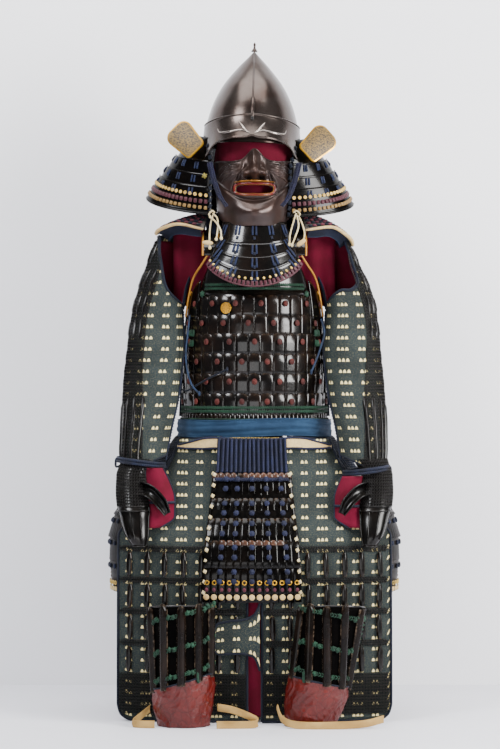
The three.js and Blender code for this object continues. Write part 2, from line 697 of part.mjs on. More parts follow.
function thighGuard() {
  for (const { name, side } of SIDES) {
    const cloth = thighHalf([648, 600, 540, 480, BEND_Z + 1, BEND_Z, 300, 180, 60, 0]);
    add(`thigh_cloth_${name}`, onSide(sheet(cloth, CLOTH), side), BROCADE);
    const plates = thighHalf([BEND_Z - 2, 300, 180, 60, 0], 5);
    const layer = wall(raised(plates, 2 * GAP + 3), raised(plates, 2 * GAP));
    add(`thigh_splints_${name}`, onSide(layer, side), MAIL);
  }
  const shares = [...PANEL_COLUMNS.slice(1).map((share) => -share).reverse(), ...PANEL_COLUMNS];
  const belt = grid([646, 620], shares, (z, share) => onThigh(share, z));
  add('thigh_belt', wall(raised(belt, 2 * GAP + 2), raised(belt, 2 * GAP)), LEATHER);

  // The flap that crosses the slit: x, and its upper and lower edge there.
  const flap = [[-92, 228, 157], [-55, 235, 160], [-16, 241, 158], [4, 256, 146], [12, 276, 122]];
  const flapSurface = [0, 0.5, 1].map((v) => flap.map(([x, top, bottom]) => {
    const z = mix(top, bottom, v);
    return onThigh(x / PANEL_HALF, z).add(point(0, -7, 0));
  }));
  add('thigh_flap', sheet(flapSurface, CLOTH), BROCADE);

  const lining = grid([330, 160, 14], steps(-42, 42, 2), (z, x) => (
    onThigh(x / PANEL_HALF, z).add(point(0, CLOTH + 6, 0))));
  add('thigh_lining', sheet(lining, LINING), CRIMSON);
}

// ---------------------------------------------------------------- shin guards
/** A place on a shin guard: a half tube, open behind, that may lean to one side. */
function onShin(guard, angle, z, out) {
  const up = z / SHIN.top;
  const x = mix(guard.foot, guard.head, up) + (mix(SHIN.footHalf, SHIN.halfWidth, up) + out) * wave(angle);
  return point(x, SHIN.y - (SHIN.halfDepth + out) * cowave(angle), z);
}

const SHIN_SIDES = [
  { name: 'left', foot: -161, head: -168, slope: 20 },
  { name: 'right', foot: 127, head: 180, slope: -14 },
];

function shinGuards() {
  for (const guard of SHIN_SIDES) {
    const around = steps(-86, 86, 8);
    const plates = grid(steps(0, 1, 3), around, (v, angle) => {
      const top = SHIN.top - 9 + 9 * cowave(angle);
      return onShin(guard, angle, mix(top, SHIN.leather - 16, v), 0);
    });
    add(`shin_guard_${guard.name}`, sheet(plates, PLATE + 2), LACQUER);
    const patch = grid([0, 0.3, 0.65, 1], around, (v, angle) => {
      const top = SHIN.leather + guard.slope * wave(angle);
      return onShin(guard, angle, mix(top, 0.4, v), 4 - 16 * Math.max(v - 0.3, 0));
    });
    add(`shin_leather_${guard.name}`, sheet(patch, CLOTH), { color: '#93392f', roughness: 0.7 });
  }
}

// ---------------------------------------------------------------- cords and tapes
const TAPE = { color: '#cfae72', roughness: 0.9, metalness: 0 };

function tapes() {
  const loop = [[-238, -306, 30], [-262, -318, 12], [-276, -326, 0.3], [-264, -346, 0], [-226, -352, 0]];
  add('floor_tape_left', tape(loop, 18, 1.6, 10), TAPE);
  const middle = [[-84, -318, 34], [-52, -330, 30], [-16, -338, 18], [8, -346, 6], [-8, -356, 0],
    [-86, -362, 0]];
  add('floor_tape_middle', tape(middle, 18, 1.6, 14), TAPE);
  const right = [[52, -324, 34], [64, -350, 10], [100, -366, 0], [190, -368, 0], [250, -362, 3],
    [292, -350, 12]];
  add('floor_tape_right', tape(right, 18, 1.6, 14), TAPE);
}

function cords() {
  const maskCord = [[106, -118, 1300], [95, -124, 1255], [80, -136, 1214], [66, -146, 1194]];
  for (const { name, side } of SIDES) {
    add(`mask_cord_${name}`, onSide(welded(cord(maskCord, 5, 7)), side), NAVY);
  }
  const left = [[-154, -72, 940], [-157, -78, 905], [-162, -84, 860], [-160, -94, 815],
    [-148, -106, 776], [-130, -112, 755]];
  add('cord_left', cord(left, 2.4, 16), NAVY);
  const right = [[158, -66, 932], [166, -74, 900], [158, -84, 868], [146, -98, 834], [134, -108, 806]];
  add('cord_right', cord(right, 2.4, 11), NAVY);
  const dark = [[-171, -52, 764], [-158, -74, 762], [-128, -100, 780], [-96, -118, 797], [-64, -130, 812]];
  add('cord_dark', cord(dark, 2.2, 11), NAVY);
}

// ---------------------------------------------------------------- the whole armour
stand();
helmetBowl();
helmetRib();
browVisor();
neckGuard();
mask();
throatGuard();
cuirass();
sash();
yoke();
for (const { name, side, droop, tieZ } of SIDES) {
  add(`ear_wing_${name}`, earWing(side), LEATHER, helmet);
  add(`shoulder_strap_${name}`, shoulderStrap(side), LACQUER);
  add(`armhole_guard_${name}`, armholeGuard(side), LACQUER);
  add(`shoulder_wing_${name}`, shoulderWing(side, droop), { color: '#4a4644', roughness: 0.8 });
  add(`sleeve_${name}`, sleeve(name, side), BROCADE);
  add(`sleeve_lining_${name}`, sleeveLining(name, side), CRIMSON);
  add(`sleeve_splints_${name}`, sleeveSplints(name, side), MAIL);
  add(`hand_guard_${name}`, handGuard(side), LACQUER);
  add(`palm_${name}`, palm(side, tieZ - 14), CRIMSON);
  add(`wrist_tie_${name}`, wristTie(name, side, tieZ), NAVY);
  add(`side_tasset_${name}`, tasset(75 * side, 23), LACQUER);
  add(`back_tasset_${name}`, tasset(128 * side, 23), LACQUER);
}
add('back_tasset_middle', tasset(180, 23), LACQUER);
frontTasset();
thighGuard();
shinGuards();
tapes();
cords();

// The origin is under the middle of the armour, on the surface it stands on.
const bounds = new THREE.Box3().setFromObject(group);
const middle = bounds.getCenter(point(0, 0, 0));
group.position.set(-middle.x, -middle.y, -bounds.min.z);

export default group;
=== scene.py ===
"""A samurai armour on its armour box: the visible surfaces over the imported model.

Everything is modelled in millimetres about the armour's upright middle line, with -Y the front
and +Z up, and piece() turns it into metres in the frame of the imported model.
"""
import math
from functools import partial
from types import SimpleNamespace

import bmesh
import bpy
import numpy as np
from mathutils import Matrix, Vector


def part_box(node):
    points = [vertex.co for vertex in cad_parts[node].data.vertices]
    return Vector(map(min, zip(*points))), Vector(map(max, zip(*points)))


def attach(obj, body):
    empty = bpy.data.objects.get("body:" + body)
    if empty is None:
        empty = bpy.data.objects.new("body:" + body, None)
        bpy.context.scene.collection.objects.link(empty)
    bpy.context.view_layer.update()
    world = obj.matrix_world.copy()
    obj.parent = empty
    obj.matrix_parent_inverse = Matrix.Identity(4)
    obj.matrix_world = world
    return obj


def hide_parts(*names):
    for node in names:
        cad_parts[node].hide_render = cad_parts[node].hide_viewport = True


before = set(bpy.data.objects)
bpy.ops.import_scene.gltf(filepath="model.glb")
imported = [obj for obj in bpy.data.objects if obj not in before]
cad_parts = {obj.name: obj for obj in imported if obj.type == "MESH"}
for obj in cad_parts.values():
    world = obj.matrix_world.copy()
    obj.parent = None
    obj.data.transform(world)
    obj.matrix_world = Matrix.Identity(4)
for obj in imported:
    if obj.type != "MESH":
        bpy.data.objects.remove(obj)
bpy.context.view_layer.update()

MM = 0.001
STAND_LOW, STAND_HIGH = (Vector(corner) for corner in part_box("armour_stand"))
AXIS = Vector((0, (STAND_LOW.y + STAND_HIGH.y) / 2, 0))  # the armour's upright middle line
APEX_Z = 1572
SIDES = {"left": -1, "right": 1}

# ------------------------------------------------------------------ camera
EYE = Vector((-0.0105, AXIS.y - 6.0, 0.80))
lens = bpy.data.cameras.new("camera")
lens.lens = 120.1
camera = bpy.data.objects.new("camera", lens)
camera.location = EYE
camera.rotation_euler = (math.radians(90), 0, 0)
bpy.context.collection.objects.link(camera)
bpy.context.scene.camera = camera


# ------------------------------------------------------------------ shader building
class Shader:
    """A node tree that is written as a list of calls."""

    def __init__(self, tree):
        self.tree = tree

    def add(self, kind, settings=None, **inputs):
        node = self.tree.nodes.new(kind)
        for key, value in (settings or {}).items():
            setattr(node, key, value)
        for key, value in inputs.items():
            socket = node.inputs[int(key[1:]) if key[1:].isdigit() else key.replace("_", " ")]
            self.put(socket, value)
        return node

    def put(self, socket, value):
        if isinstance(value, bpy.types.NodeSocket):
            self.tree.links.new(value, socket)
        else:
            socket.default_value = value

    def math(self, operation, a, b=0.0, c=0.0):
        return self.add("ShaderNodeMath", {"operation": operation}, i0=a, i1=b, i2=c).outputs[0]

    def span(self, value, low, high, to_low=0.0, to_high=1.0):
        """A value read between two limits, and spread smoothly between two others."""
        node = self.add("ShaderNodeMapRange", {"interpolation_type": "SMOOTHSTEP"}, Value=value)
        for key, number in (("From Min", low), ("From Max", high), ("To Min", to_low), ("To Max", to_high)):
            self.put(node.inputs[key], number)
        return node.outputs["Result"]

    def blend(self, share, a, b, how="MIX"):
        node = self.add("ShaderNodeMix", {"data_type": "RGBA", "blend_type": how})
        self.put(node.inputs[0], share)
        self.put(node.inputs[6], a)
        self.put(node.inputs[7], b)
        return node.outputs[2]

    def noise(self, where, scale, detail=3.0, roughness=0.55):
        node = self.add("ShaderNodeTexNoise", Vector=where, Scale=scale, Detail=detail, Roughness=roughness)
        return node.outputs[0]

    def cells(self, where, scale, feature="F1"):
        node = self.add("ShaderNodeTexVoronoi", {"feature": feature}, Vector=where, Scale=scale)
        return node.outputs["Distance"]

    def group(self, tree, **inputs):
        node = self.add("ShaderNodeGroup", {"node_tree": tree})
        for key, value in inputs.items():
            self.put(node.inputs[key.replace("_", " ")], value)
        return node.outputs


DEEPEN = 1.18


def colour(red, green, blue):
    """A colour from its sRGB values, 0 to 255, deepened a little for the soft studio light."""
    linear = [((c / 255 + 0.055) / 1.055) ** 2.4 if c > 10 else c / 255 / 12.92 for c in (red, green, blue)]
    return (*(value**DEEPEN for value in linear), 1.0)


def shader_group(name, inputs, outputs):
    """A new node group; inputs and outputs are (name, kind) pairs, kind Float, Vector or Color."""
    tree = bpy.data.node_groups.new(name, "ShaderNodeTree")
    for direction, sockets in (("INPUT", inputs), ("OUTPUT", outputs)):
        for label, kind in sockets:
            tree.interface.new_socket(label, in_out=direction, socket_type="NodeSocket" + kind)
    shader = Shader(tree)
    return shader, shader.add("NodeGroupInput").outputs, shader.add("NodeGroupOutput").inputs


def dust_group():
    """Pale dust on what faces up, and blotches of a second tone."""
    s, given, out = shader_group(
        "dust and blotches",
        [("Base", "Color"), ("Blotch", "Color"), ("Blotches", "Float"), ("Dust", "Float"), ("Roughness", "Float")],
        [("Colour", "Color"), ("Roughness", "Float")],
    )
    where = s.add("ShaderNodeTexCoord").outputs["Object"]
    normal = s.add("ShaderNodeNewGeometry").outputs["Normal"]
    up = s.add("ShaderNodeSeparateXYZ", Vector=normal).outputs["Z"]
    broad = s.span(s.noise(where, 17, 4), 0.42, 0.68)
    fine = s.noise(where, 160, 5, 0.7)
    toned = s.blend(s.math("MULTIPLY", broad, given["Blotches"]), given["Base"], given["Blotch"])
    settled = s.math("MULTIPLY", s.span(up, 0.1, 0.9), s.span(fine, 0.35, 0.75))
    film = s.math("MULTIPLY", settled, given["Dust"])
    s.put(out["Colour"], s.blend(film, toned, colour(150, 140, 128)))
    uneven = s.math("MULTIPLY_ADD", fine, 0.12, -0.06)
    rough = s.math("MULTIPLY_ADD", film, 0.5, given["Roughness"])
    s.put(out["Roughness"], s.math("ADD", rough, uneven))
    return s.tree


def weave_group():
    """Crossing threads as a height, and a value of random thread tone with the raised crossings paler, a painted
    highlight.
    """
    s, given, out = shader_group(
        "crossing threads", [("Vector", "Vector"), ("Pitch", "Float")], [("Height", "Float"), ("Shade", "Float")]
    )
    parts = s.add("ShaderNodeSeparateXYZ", Vector=given["Vector"]).outputs
    turns = s.math("DIVIDE", 2 * math.pi, given["Pitch"])
    across = s.math("SINE", s.math("MULTIPLY", parts["X"], turns))
    along = s.math("SINE", s.math("MULTIPLY", parts["Y"], turns))
    crossing = s.math("MULTIPLY", across, along)
    s.put(out["Height"], s.math("MULTIPLY_ADD", crossing, 0.5, 0.5))
    uneven = s.noise(given["Vector"], 900, 3, 0.6)
    # Shade: random thread tone, plus the raised crossings made paler as painted highlight.
    s.put(out["Shade"], s.math("MULTIPLY_ADD", uneven, 0.6, s.math("MULTIPLY_ADD", crossing, 0.1, 0.4)))
    return s.tree


def braid_group():
    """The herringbone of a flat braid, darker in its grooves as painted shade: U runs across it from 0 to 1 and V along
    it.
    """
    s, given, out = shader_group(
        "braid", [("Vector", "Vector"), ("Pitch", "Float")], [("Height", "Float"), ("Shade", "Float")]
    )
    parts = s.add("ShaderNodeSeparateXYZ", Vector=given["Vector"]).outputs
    middle = s.math("ABSOLUTE", s.math("SUBTRACT", parts["X"], 0.5))
    slanted = s.math("ADD", s.math("DIVIDE", parts["Y"], given["Pitch"]), middle)
    stitch = s.math("PINGPONG", slanted, 0.5)
    height = s.math("MULTIPLY", stitch, 2)
    s.put(out["Height"], height)
    # Shade is lowest in the grooves between the stitches: painted shade.
    s.put(out["Shade"], s.math("MULTIPLY_ADD", height, 0.7, 0.3))
    return s.tree


def grain_group():
    """Leather grain: pebbles and creases as a height, and a dark value: grain tone in the pebbles and painted shade in
    the creases.
    """
    s, given, out = shader_group(
        "leather grain", [("Scale", "Float"), ("Creases", "Float")], [("Height", "Float"), ("Dark", "Float")]
    )
    where = s.add("ShaderNodeTexCoord").outputs["Object"]
    stir = s.add("ShaderNodeTexNoise", Vector=where, Scale=40.0).outputs["Color"]
    bent = s.add("ShaderNodeVectorMath", {"operation": "MULTIPLY_ADD"}, i0=stir, i1=(0.012,) * 3, i2=where)
    pebbles = s.cells(bent.outputs[0], given["Scale"])
    crease = s.cells(bent.outputs[0], s.math("MULTIPLY", given["Scale"], 0.16), "DISTANCE_TO_EDGE")
    dip = s.math("MULTIPLY", s.span(crease, 0.0, 0.09, 1.0, 0.0), given["Creases"])
    s.put(out["Height"], s.math("SUBTRACT", s.math("MULTIPLY", pebbles, 0.4), dip))
    # Dark: painted shade in the creases, and grain tone in the pebbles.
    s.put(out["Dark"], s.math("ADD", s.math("MULTIPLY", dip, 0.6), s.math("MULTIPLY", pebbles, 0.25)))
    return s.tree


BELL_COLUMN = 0.0415  # metres from a group of three bells to the next group of two
BELL_ROW = 0.0265
BELL_PITCH = 0.0093


def brocade_group():
    """Rows of small bells, in threes and twos by turns, on a flecked ground. Vector is in metres."""
    s, given, out = shader_group(
        "bell brocade",
        [("Vector", "Vector"), ("Ground", "Color"), ("Fleck", "Color"), ("Bell", "Color")],
        [("Colour", "Color"), ("Bells", "Float"), ("Height", "Float")],
    )
    parts = s.add("ShaderNodeSeparateXYZ", Vector=given["Vector"]).outputs
    column = s.math("DIVIDE", parts["X"], BELL_COLUMN)
    number = s.math("FLOOR", column)
    odd = s.math("MODULO", s.math("ABSOLUTE", number), 2)
    from_middle = s.math("MULTIPLY", s.math("SUBTRACT", s.math("FRACT", column), 0.5), BELL_COLUMN)
    # Twos sit half a bell aside, so that both kinds of group are centred on their column.
    shifted = s.math("ADD", from_middle, s.math("MULTIPLY", odd, BELL_PITCH / 2))
    bell = s.math("ROUND", s.math("DIVIDE", shifted, BELL_PITCH))
    reach = s.math("SUBTRACT", shifted, s.math("MULTIPLY", bell, BELL_PITCH))
    low = s.math("GREATER_THAN", bell, s.math("MULTIPLY_ADD", odd, 1.0, -1.5))
    high = s.math("LESS_THAN", bell, 1.5)
    up = s.math("MULTIPLY", s.math("FRACT", s.math("DIVIDE", parts["Y"], BELL_ROW)), BELL_ROW)
    rise = s.math("DIVIDE", s.math("SUBTRACT", up, 0.009), 0.0078)
    dome = s.math("MAXIMUM", s.math("SUBTRACT", 1.0, s.math("POWER", s.math("MAXIMUM", rise, 0.0), 2.0)), 0.0)
    half = s.math("MULTIPLY", s.math("POWER", dome, 0.6), 0.0040)
    wobble = s.math("MULTIPLY_ADD", s.noise(given["Vector"], 420, 2), 0.0022, -0.0011)
    side = s.math("ADD", s.math("SUBTRACT", half, s.math("ABSOLUTE", reach)), wobble)
    shape = s.math("MULTIPLY", s.span(side, 0.0, 0.0009), s.math("GREATER_THAN", rise, 0.0))
    bells = s.math("MULTIPLY", s.math("MULTIPLY", shape, low), high)
    # The ground's leaves: a scatter of paler and greener flecks along the threads.
    stretched = s.add("ShaderNodeMapping", Vector=given["Vector"], Scale=(1.0, 1.6, 1.0)).outputs[0]
    leaves = s.span(s.noise(stretched, 330, 2, 0.65), 0.5, 0.62)
    drift = s.noise(given["Vector"], 14, 3)
    flecked = s.blend(s.math("MULTIPLY", leaves, 0.55), given["Ground"], given["Fleck"])
    shaded = s.blend(s.span(drift, 0.3, 0.75, 0.0, 0.45), flecked, given["Ground"], "MULTIPLY")
    ribs = s.math("SINE", s.math("MULTIPLY", parts["Y"], 2 * math.pi / 0.0011))
    worn = s.math("MULTIPLY", bells, s.span(s.noise(given["Vector"], 70, 3), 0.25, 0.5, 0.72, 1.0))
    s.put(out["Colour"], s.blend(worn, shaded, given["Bell"]))
    s.put(out["Bells"], bells)
    s.put(out["Height"], s.math("MULTIPLY_ADD", ribs, 0.25, s.math("ADD", bells, s.math("MULTIPLY", leaves, 0.4))))
    return s.tree


def rubbed_group():
    """Rubbed edges: an edge mask that is 1 on the rim of a plate, broken up by noise."""
    s, given, out = shader_group("rubbed edges", [("Amount", "Float")], [("Rubbed", "Float")])
    edge = s.add("ShaderNodeAttribute", {"attribute_name": "edge"}).outputs["Fac"]
    where = s.add("ShaderNodeTexCoord").outputs["Object"]
    broken = s.span(s.noise(where, 120, 4, 0.7), 0.42, 0.66)
    rim = s.math("POWER", edge, 5.0)
    s.put(out["Rubbed"], s.math("MULTIPLY", s.math("MULTIPLY", rim, broken), given["Amount"]))
    return s.tree


DUST = dust_group()
THREADS = weave_group()
BRAID = braid_group()
GRAIN = grain_group()
BROCADE = brocade_group()
RUBBED = rubbed_group()


def material(name, roughness=0.5, metallic=0.0, **surface):
    """A Principled material and its shader builder; surface holds other socket values."""
    made = bpy.data.materials.new(name)
    made.use_nodes = True
    bsdf = made.node_tree.nodes["Principled BSDF"]
    bsdf.inputs["Roughness"].default_value = roughness
    bsdf.inputs["Metallic"].default_value = metallic
    for key, value in surface.items():
        bsdf.inputs[key.replace("_", " ")].default_value = value
    return made, Shader(made.node_tree), bsdf.inputs


def bump(s, sockets, height, distance, strength=1.0):
    node = s.add("ShaderNodeBump", Strength=strength, Distance=distance, Height=height)
    s.put(sockets["Normal"], node.outputs[0])


def object_place(s):
    return s.add("ShaderNodeTexCoord").outputs["Object"]


def lacquer(name, base, tone, roughness=0.16, rubbed=0.5, rub=(122, 92, 64), dust=0.04, coat=0.16, shine=0.32):
    """Glossy lacquer over iron or rawhide, browner in patches and rubbed along its edges."""
    made, s, sockets = material(name, Coat_Weight=coat, Coat_Roughness=0.07, Specular_IOR_Level=shine)
    coated = s.group(DUST, Base=colour(*base), Blotch=colour(*tone), Blotches=0.7, Dust=dust, Roughness=roughness)
    worn = s.group(RUBBED, Amount=rubbed)["Rubbed"]
    s.put(sockets["Base Color"], s.blend(worn, coated["Colour"], colour(*rub)))
    s.put(sockets["Roughness"], s.math("MULTIPLY_ADD", worn, 0.25, coated["Roughness"]))
    waves = s.noise(object_place(s), 55, 2, 0.4)
    bump(s, sockets, waves, 0.0012, 0.2)
    return made


def iron(name, base, tone, roughness, metallic=0.75, grain=260.0, dust=0.08):
    """Hammered and polished iron under a russet skin."""
    made, s, sockets = material(name, metallic=metallic, Specular_IOR_Level=0.5)
    coated = s.group(DUST, Base=colour(*base), Blotch=colour(*tone), Blotches=0.8, Dust=dust, Roughness=roughness)
    s.put(sockets["Base Color"], coated["Colour"])
    s.put(sockets["Roughness"], coated["Roughness"])
    place = object_place(s)
    marks = s.math("MULTIPLY_ADD", s.noise(place, 45, 2), 0.8, s.math("MULTIPLY", s.noise(place, grain, 4), 0.2))
    bump(s, sockets, marks, 0.001, 0.3)
    return made


def cloth(name, base, tone, pitch=0.0011, sheen=0.03, roughness=0.85, uv=True, drift=22.0):
    """Plain woven cloth: paler in random broad patches, and on its raised thread crossings as painted highlight."""
    made, s, sockets = material(name, roughness=roughness, Sheen_Weight=sheen, Specular_IOR_Level=0.25)
    coordinates = s.add("ShaderNodeTexCoord").outputs
    where = coordinates["UV" if uv else "Object"]
    threads = s.group(THREADS, Vector=where, Pitch=pitch)
    folds = s.noise(coordinates["Object"], drift, 4)
    # The thread shade is random tone plus painted highlight on the raised crossings; the broad patches are random tone.
    share = s.math("MULTIPLY", s.span(folds, 0.3, 0.72), threads["Shade"])
    s.put(sockets["Base Color"], s.blend(share, colour(*base), colour(*tone)))
    bump(s, sockets, threads["Height"], 0.0004, 0.5)
    return made


def leather(name, base, tone, scale=520.0, creases=0.5, roughness=0.45, depth=0.0008, rubbed=0.4, coat=0.0):
    """Leather with its grain, painted shade in the creases, and paler where it is rubbed."""
    made, s, sockets = material(name, Coat_Weight=coat, Coat_Roughness=0.15, Specular_IOR_Level=0.28)
    grain = s.group(GRAIN, Scale=scale, Creases=creases)
    coated = s.group(DUST, Base=colour(*base), Blotch=colour(*tone), Blotches=0.6, Dust=0.12, Roughness=roughness)
    # Darkened by the grain's dark value: painted shade in the creases, grain tone in the pebbles.
    shaded = s.blend(s.math("MINIMUM", grain["Dark"], 1.0), coated["Colour"], colour(*[c * 0.45 for c in base]))
    worn = s.group(RUBBED, Amount=rubbed)["Rubbed"]
    s.put(sockets["Base Color"], s.blend(worn, shaded, colour(*[min(255, c * 1.25 + 25) for c in base])))
    s.put(sockets["Roughness"], coated["Roughness"])
    bump(s, sockets, grain["Height"], depth, 0.7)
    return made


def lacing(name, base, tone, pitch=0.0035):
    """Braided silk: its herringbone follows the piece's own UV map, V in metres along the braid, and its grooves are
    darkened as painted shade.
    """
    made, s, sockets = material(name, roughness=0.62, Sheen_Weight=0.04, Specular_IOR_Level=0.25)
    coordinates = s.add("ShaderNodeTexCoord").outputs
    braid = s.group(BRAID, Vector=coordinates["UV"], Pitch=pitch)
    faded = s.span(s.noise(coordinates["Object"], 60, 4), 0.35, 0.7)
    fresh = s.blend(faded, colour(*base), colour(*tone))
    # Painted shade: the grooves of the braid go three quarters of the way to black.
    s.put(sockets["Base Color"], s.blend(braid["Shade"], s.blend(0.75, fresh, colour(8, 8, 10)), fresh))
    bump(s, sockets, braid["Height"], 0.0006, 0.8)
    return made


def silk(name, base, tone, grain=420.0):
    """Knotted or twisted silk with no map of its own: fine strands as noise, darker where they dip, as painted shade.
    """
    made, s, sockets = material(name, roughness=0.6, Sheen_Weight=0.04, Specular_IOR_Level=0.25)
    where = object_place(s)
    strands = s.noise(where, grain, 4, 0.7)
    faded = s.span(s.noise(where, 45, 3), 0.35, 0.7)
    fresh = s.blend(faded, colour(*base), colour(*tone))
    # Painted shade: where the strand noise is low, which is where the bump dips, the colour goes towards black.
    s.put(sockets["Base Color"], s.blend(s.span(strands, 0.3, 0.6, 0.55, 0.0), fresh, colour(10, 9, 9)))
    bump(s, sockets, strands, 0.0009, 0.8)
    return made


def gilt(name, base, roughness=0.3):
    """Gilt metal, dulled in patches."""
    made, s, sockets = material(name, metallic=0.85)
    coated = s.group(
        DUST, Base=colour(*base), Blotch=colour(*[c * 0.6 for c in base]), Blotches=0.6, Dust=0.1, Roughness=roughness
    )
    s.put(sockets["Base Color"], coated["Colour"])
    s.put(sockets["Roughness"], coated["Roughness"])
    bump(s, sockets, s.noise(object_place(s), 500, 3), 0.0004, 0.4)
    return made


def brocade(name, ground=(46, 58, 62), fleck=(112, 110, 88), bell=(238, 222, 168)):
    made, s, sockets = material(name, roughness=0.78, Sheen_Weight=0.02, Specular_IOR_Level=0.2)
    where = s.add("ShaderNodeTexCoord").outputs["UV"]
    woven = s.group(BROCADE, Vector=where, Ground=colour(*ground), Fleck=colour(*fleck), Bell=colour(*bell))
    s.put(sockets["Base Color"], woven["Colour"])
    s.put(sockets["Roughness"], s.math("MULTIPLY_ADD", woven["Bells"], -0.25, 0.8))
    bump(s, sockets, woven["Height"], 0.0006, 0.7)
    return made


def wood(name, base, tone):
    made, s, sockets = material(name, Coat_Weight=0.25, Coat_Roughness=0.2)
    where = object_place(s)
    drawn = s.add("ShaderNodeMapping", Vector=where, Scale=(9.0, 9.0, 0.7)).outputs[0]
    rings = s.add("ShaderNodeTexWave", {"bands_direction": "X"}, Vector=drawn, Scale=3.0, Distortion=6.0, Detail=3.0)
    fine = s.noise(drawn, 60, 4, 0.7)
    share = s.math("MULTIPLY", rings.outputs[1], fine)
    s.put(sockets["Base Color"], s.blend(share, colour(*base), colour(*tone)))
    s.put(sockets["Roughness"], s.math("MULTIPLY_ADD", fine, 0.25, 0.3))
    bump(s, sockets, fine, 0.0005, 0.4)
    return made


BLACK = lacquer("black lacquer", (13, 11, 10), (32, 23, 18))
SCALE_LACQUER = lacquer("scale lacquer", (16, 12, 11), (40, 28, 21), roughness=0.2, rubbed=0.35, rub=(96, 78, 62),
                        coat=0.12, shine=0.28)
BROWN = lacquer("worn brown lacquer", (74, 50, 38), (104, 70, 50), roughness=0.35, rubbed=0.8, rub=(158, 112, 82))
LAME = lacquer("lame lacquer", (11, 9, 9), (26, 20, 16), roughness=0.18, rubbed=0.35, coat=0.06, shine=0.13)
# A darker, duller copy of the black lacquer for the ground between splints and scales, so the gaps read black: painted
# shade.
GAP_SHADE_LACQUER = lacquer("dark ground with painted gap shade", (7, 6, 6), (16, 12, 10), roughness=0.6, rubbed=0.1, coat=0.0, shine=0.02)
TASSET_LACQUER = lacquer("tasset lacquer", (15, 12, 12), (34, 24, 19), roughness=0.4, rubbed=0.6, coat=0.0, shine=0.05)
SPLINT = lacquer("splint lacquer", (13, 11, 10), (30, 22, 18), roughness=0.24, rubbed=0.4, coat=0.08, shine=0.2)
HELMET = iron("russet helmet iron", (84, 76, 72), (70, 56, 50), 0.22, metallic=0.85)
# Brow iron: polished smoother than the helmet iron, and a paler copy of its colour as painted highlight on the eyebrow
# ridges.
BROW_IRON_WITH_PAINTED_HIGHLIGHT = iron("polished brow iron with painted highlight", (158, 150, 144), (110, 100, 94), 0.16, metallic=0.9)
MASK_IRON = iron("mask iron", (62, 50, 47), (78, 58, 51), 0.3, metallic=0.55, grain=180.0)
LINK = iron("mail links", (34, 31, 30), (24, 20, 19), 0.36, metallic=0.6)
CRIMSON = cloth("crimson cloth", (98, 0, 38), (118, 0, 52), sheen=0.0, roughness=0.9, uv=False)
SASH = cloth("blue cotton", (32, 60, 86), (50, 80, 108), pitch=0.0014)
TAPE = cloth("tan tape", (172, 140, 86), (196, 166, 110), pitch=0.0016)
GREY_CLOTH = cloth("grey quilted cloth", (92, 88, 86), (116, 110, 104), pitch=0.0016, uv=False)
TEAL = brocade("bell brocade")
CREAM = leather("cream leather", (216, 190, 138), (196, 160, 104), creases=0.35)
OLD_CREAM = leather("old cream leather", (146, 118, 72), (116, 88, 50), creases=0.35)
MAROON = leather("maroon leather", (84, 40, 52), (104, 54, 64), creases=0.4)
BRICK = leather("brick leather", (98, 15, 4), (124, 32, 14), scale=300.0, creases=0.5, roughness=0.46,
                depth=0.0012, rubbed=0.3, coat=0.3)
NAVY = lacing("navy braid", (26, 38, 72), (38, 54, 92))
GREEN = silk("green cord", (26, 62, 46), (42, 86, 64))
RUST = silk("rust knots", (72, 25, 21), (104, 44, 36), grain=300.0)
INK = silk("dark blue cord", (14, 22, 44), (26, 38, 66))
BLUE_TIE = silk("blue tie", (22, 40, 66), (38, 62, 92))
GOLD = gilt("gilt", (214, 168, 60))
PALE_GOLD = gilt("pale gilt", (222, 192, 118), 0.4)
AMBER = leather("amber piping", (184, 132, 52), (206, 152, 70), creases=0.1, roughness=0.4)
RED_LIP = lacquer("red lip lacquer", (98, 10, 10), (124, 22, 18), roughness=0.3, rubbed=0.2, rub=(170, 120, 80))
DARK_PIPING = cloth("dark piping", (20, 26, 40), (34, 40, 54), uv=False)
WOOD = wood("dark wood", (38, 24, 17), (66, 42, 28))


# ------------------------------------------------------------------ modelling helpers
def table(columns, rows):
    """A reader of a table that blends smoothly between its rows; the first column is the key."""
    names = columns.split()
    data = np.array(sorted(rows), float)
    keys, values = data[:, 0], data[:, 1:]
    gaps = np.diff(keys)[:, None]
    slopes = np.diff(values, axis=0) / gaps
    bends = np.vstack([slopes[:1], (slopes[:-1] + slopes[1:]) / 2, slopes[-1:]])
    bends[1:-1][slopes[:-1] * slopes[1:] <= 0] = 0

    def read(key):
        i = int(np.clip(np.searchsorted(keys, key) - 1, 0, len(keys) - 2))
        t = float(np.clip((key - keys[i]) / gaps[i, 0], 0, 1))
        rise = values[i + 1] - values[i]
        start, end = bends[i] * gaps[i], bends[i + 1] * gaps[i]
        row = values[i] + t * start + t * t * (3 * rise - 2 * start - end) + t**3 * (start + end - 2 * rise)
        return SimpleNamespace(**dict(zip(names[1:], row.tolist())))

    return read


def wave(degrees):
    return math.sin(math.radians(degrees))


def cowave(degrees):
    return math.cos(math.radians(degrees))


def mix(a, b, share):
    return a + (b - a) * share


def steps(first, last, count):
    return [mix(first, last, i / count) for i in range(count + 1)]


def hill(x, z, centre_x, centre_z, width, height, rise):
    return rise * math.exp(-(((x - centre_x) / width) ** 2) - ((z - centre_z) / height) ** 2)


def dressed(thing, skins, replaces=()):
    """Gives an object its materials, parents it to the root body's empty, and hides the model parts it replaces."""
    for skin in skins if isinstance(skins, (list, tuple)) else [skins]:
        thing.data.materials.append(skin)
    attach(thing, "root")
    if replaces:
        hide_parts(*replaces)
    return thing


def placed(thing):
    bpy.context.collection.objects.link(thing)
    return thing


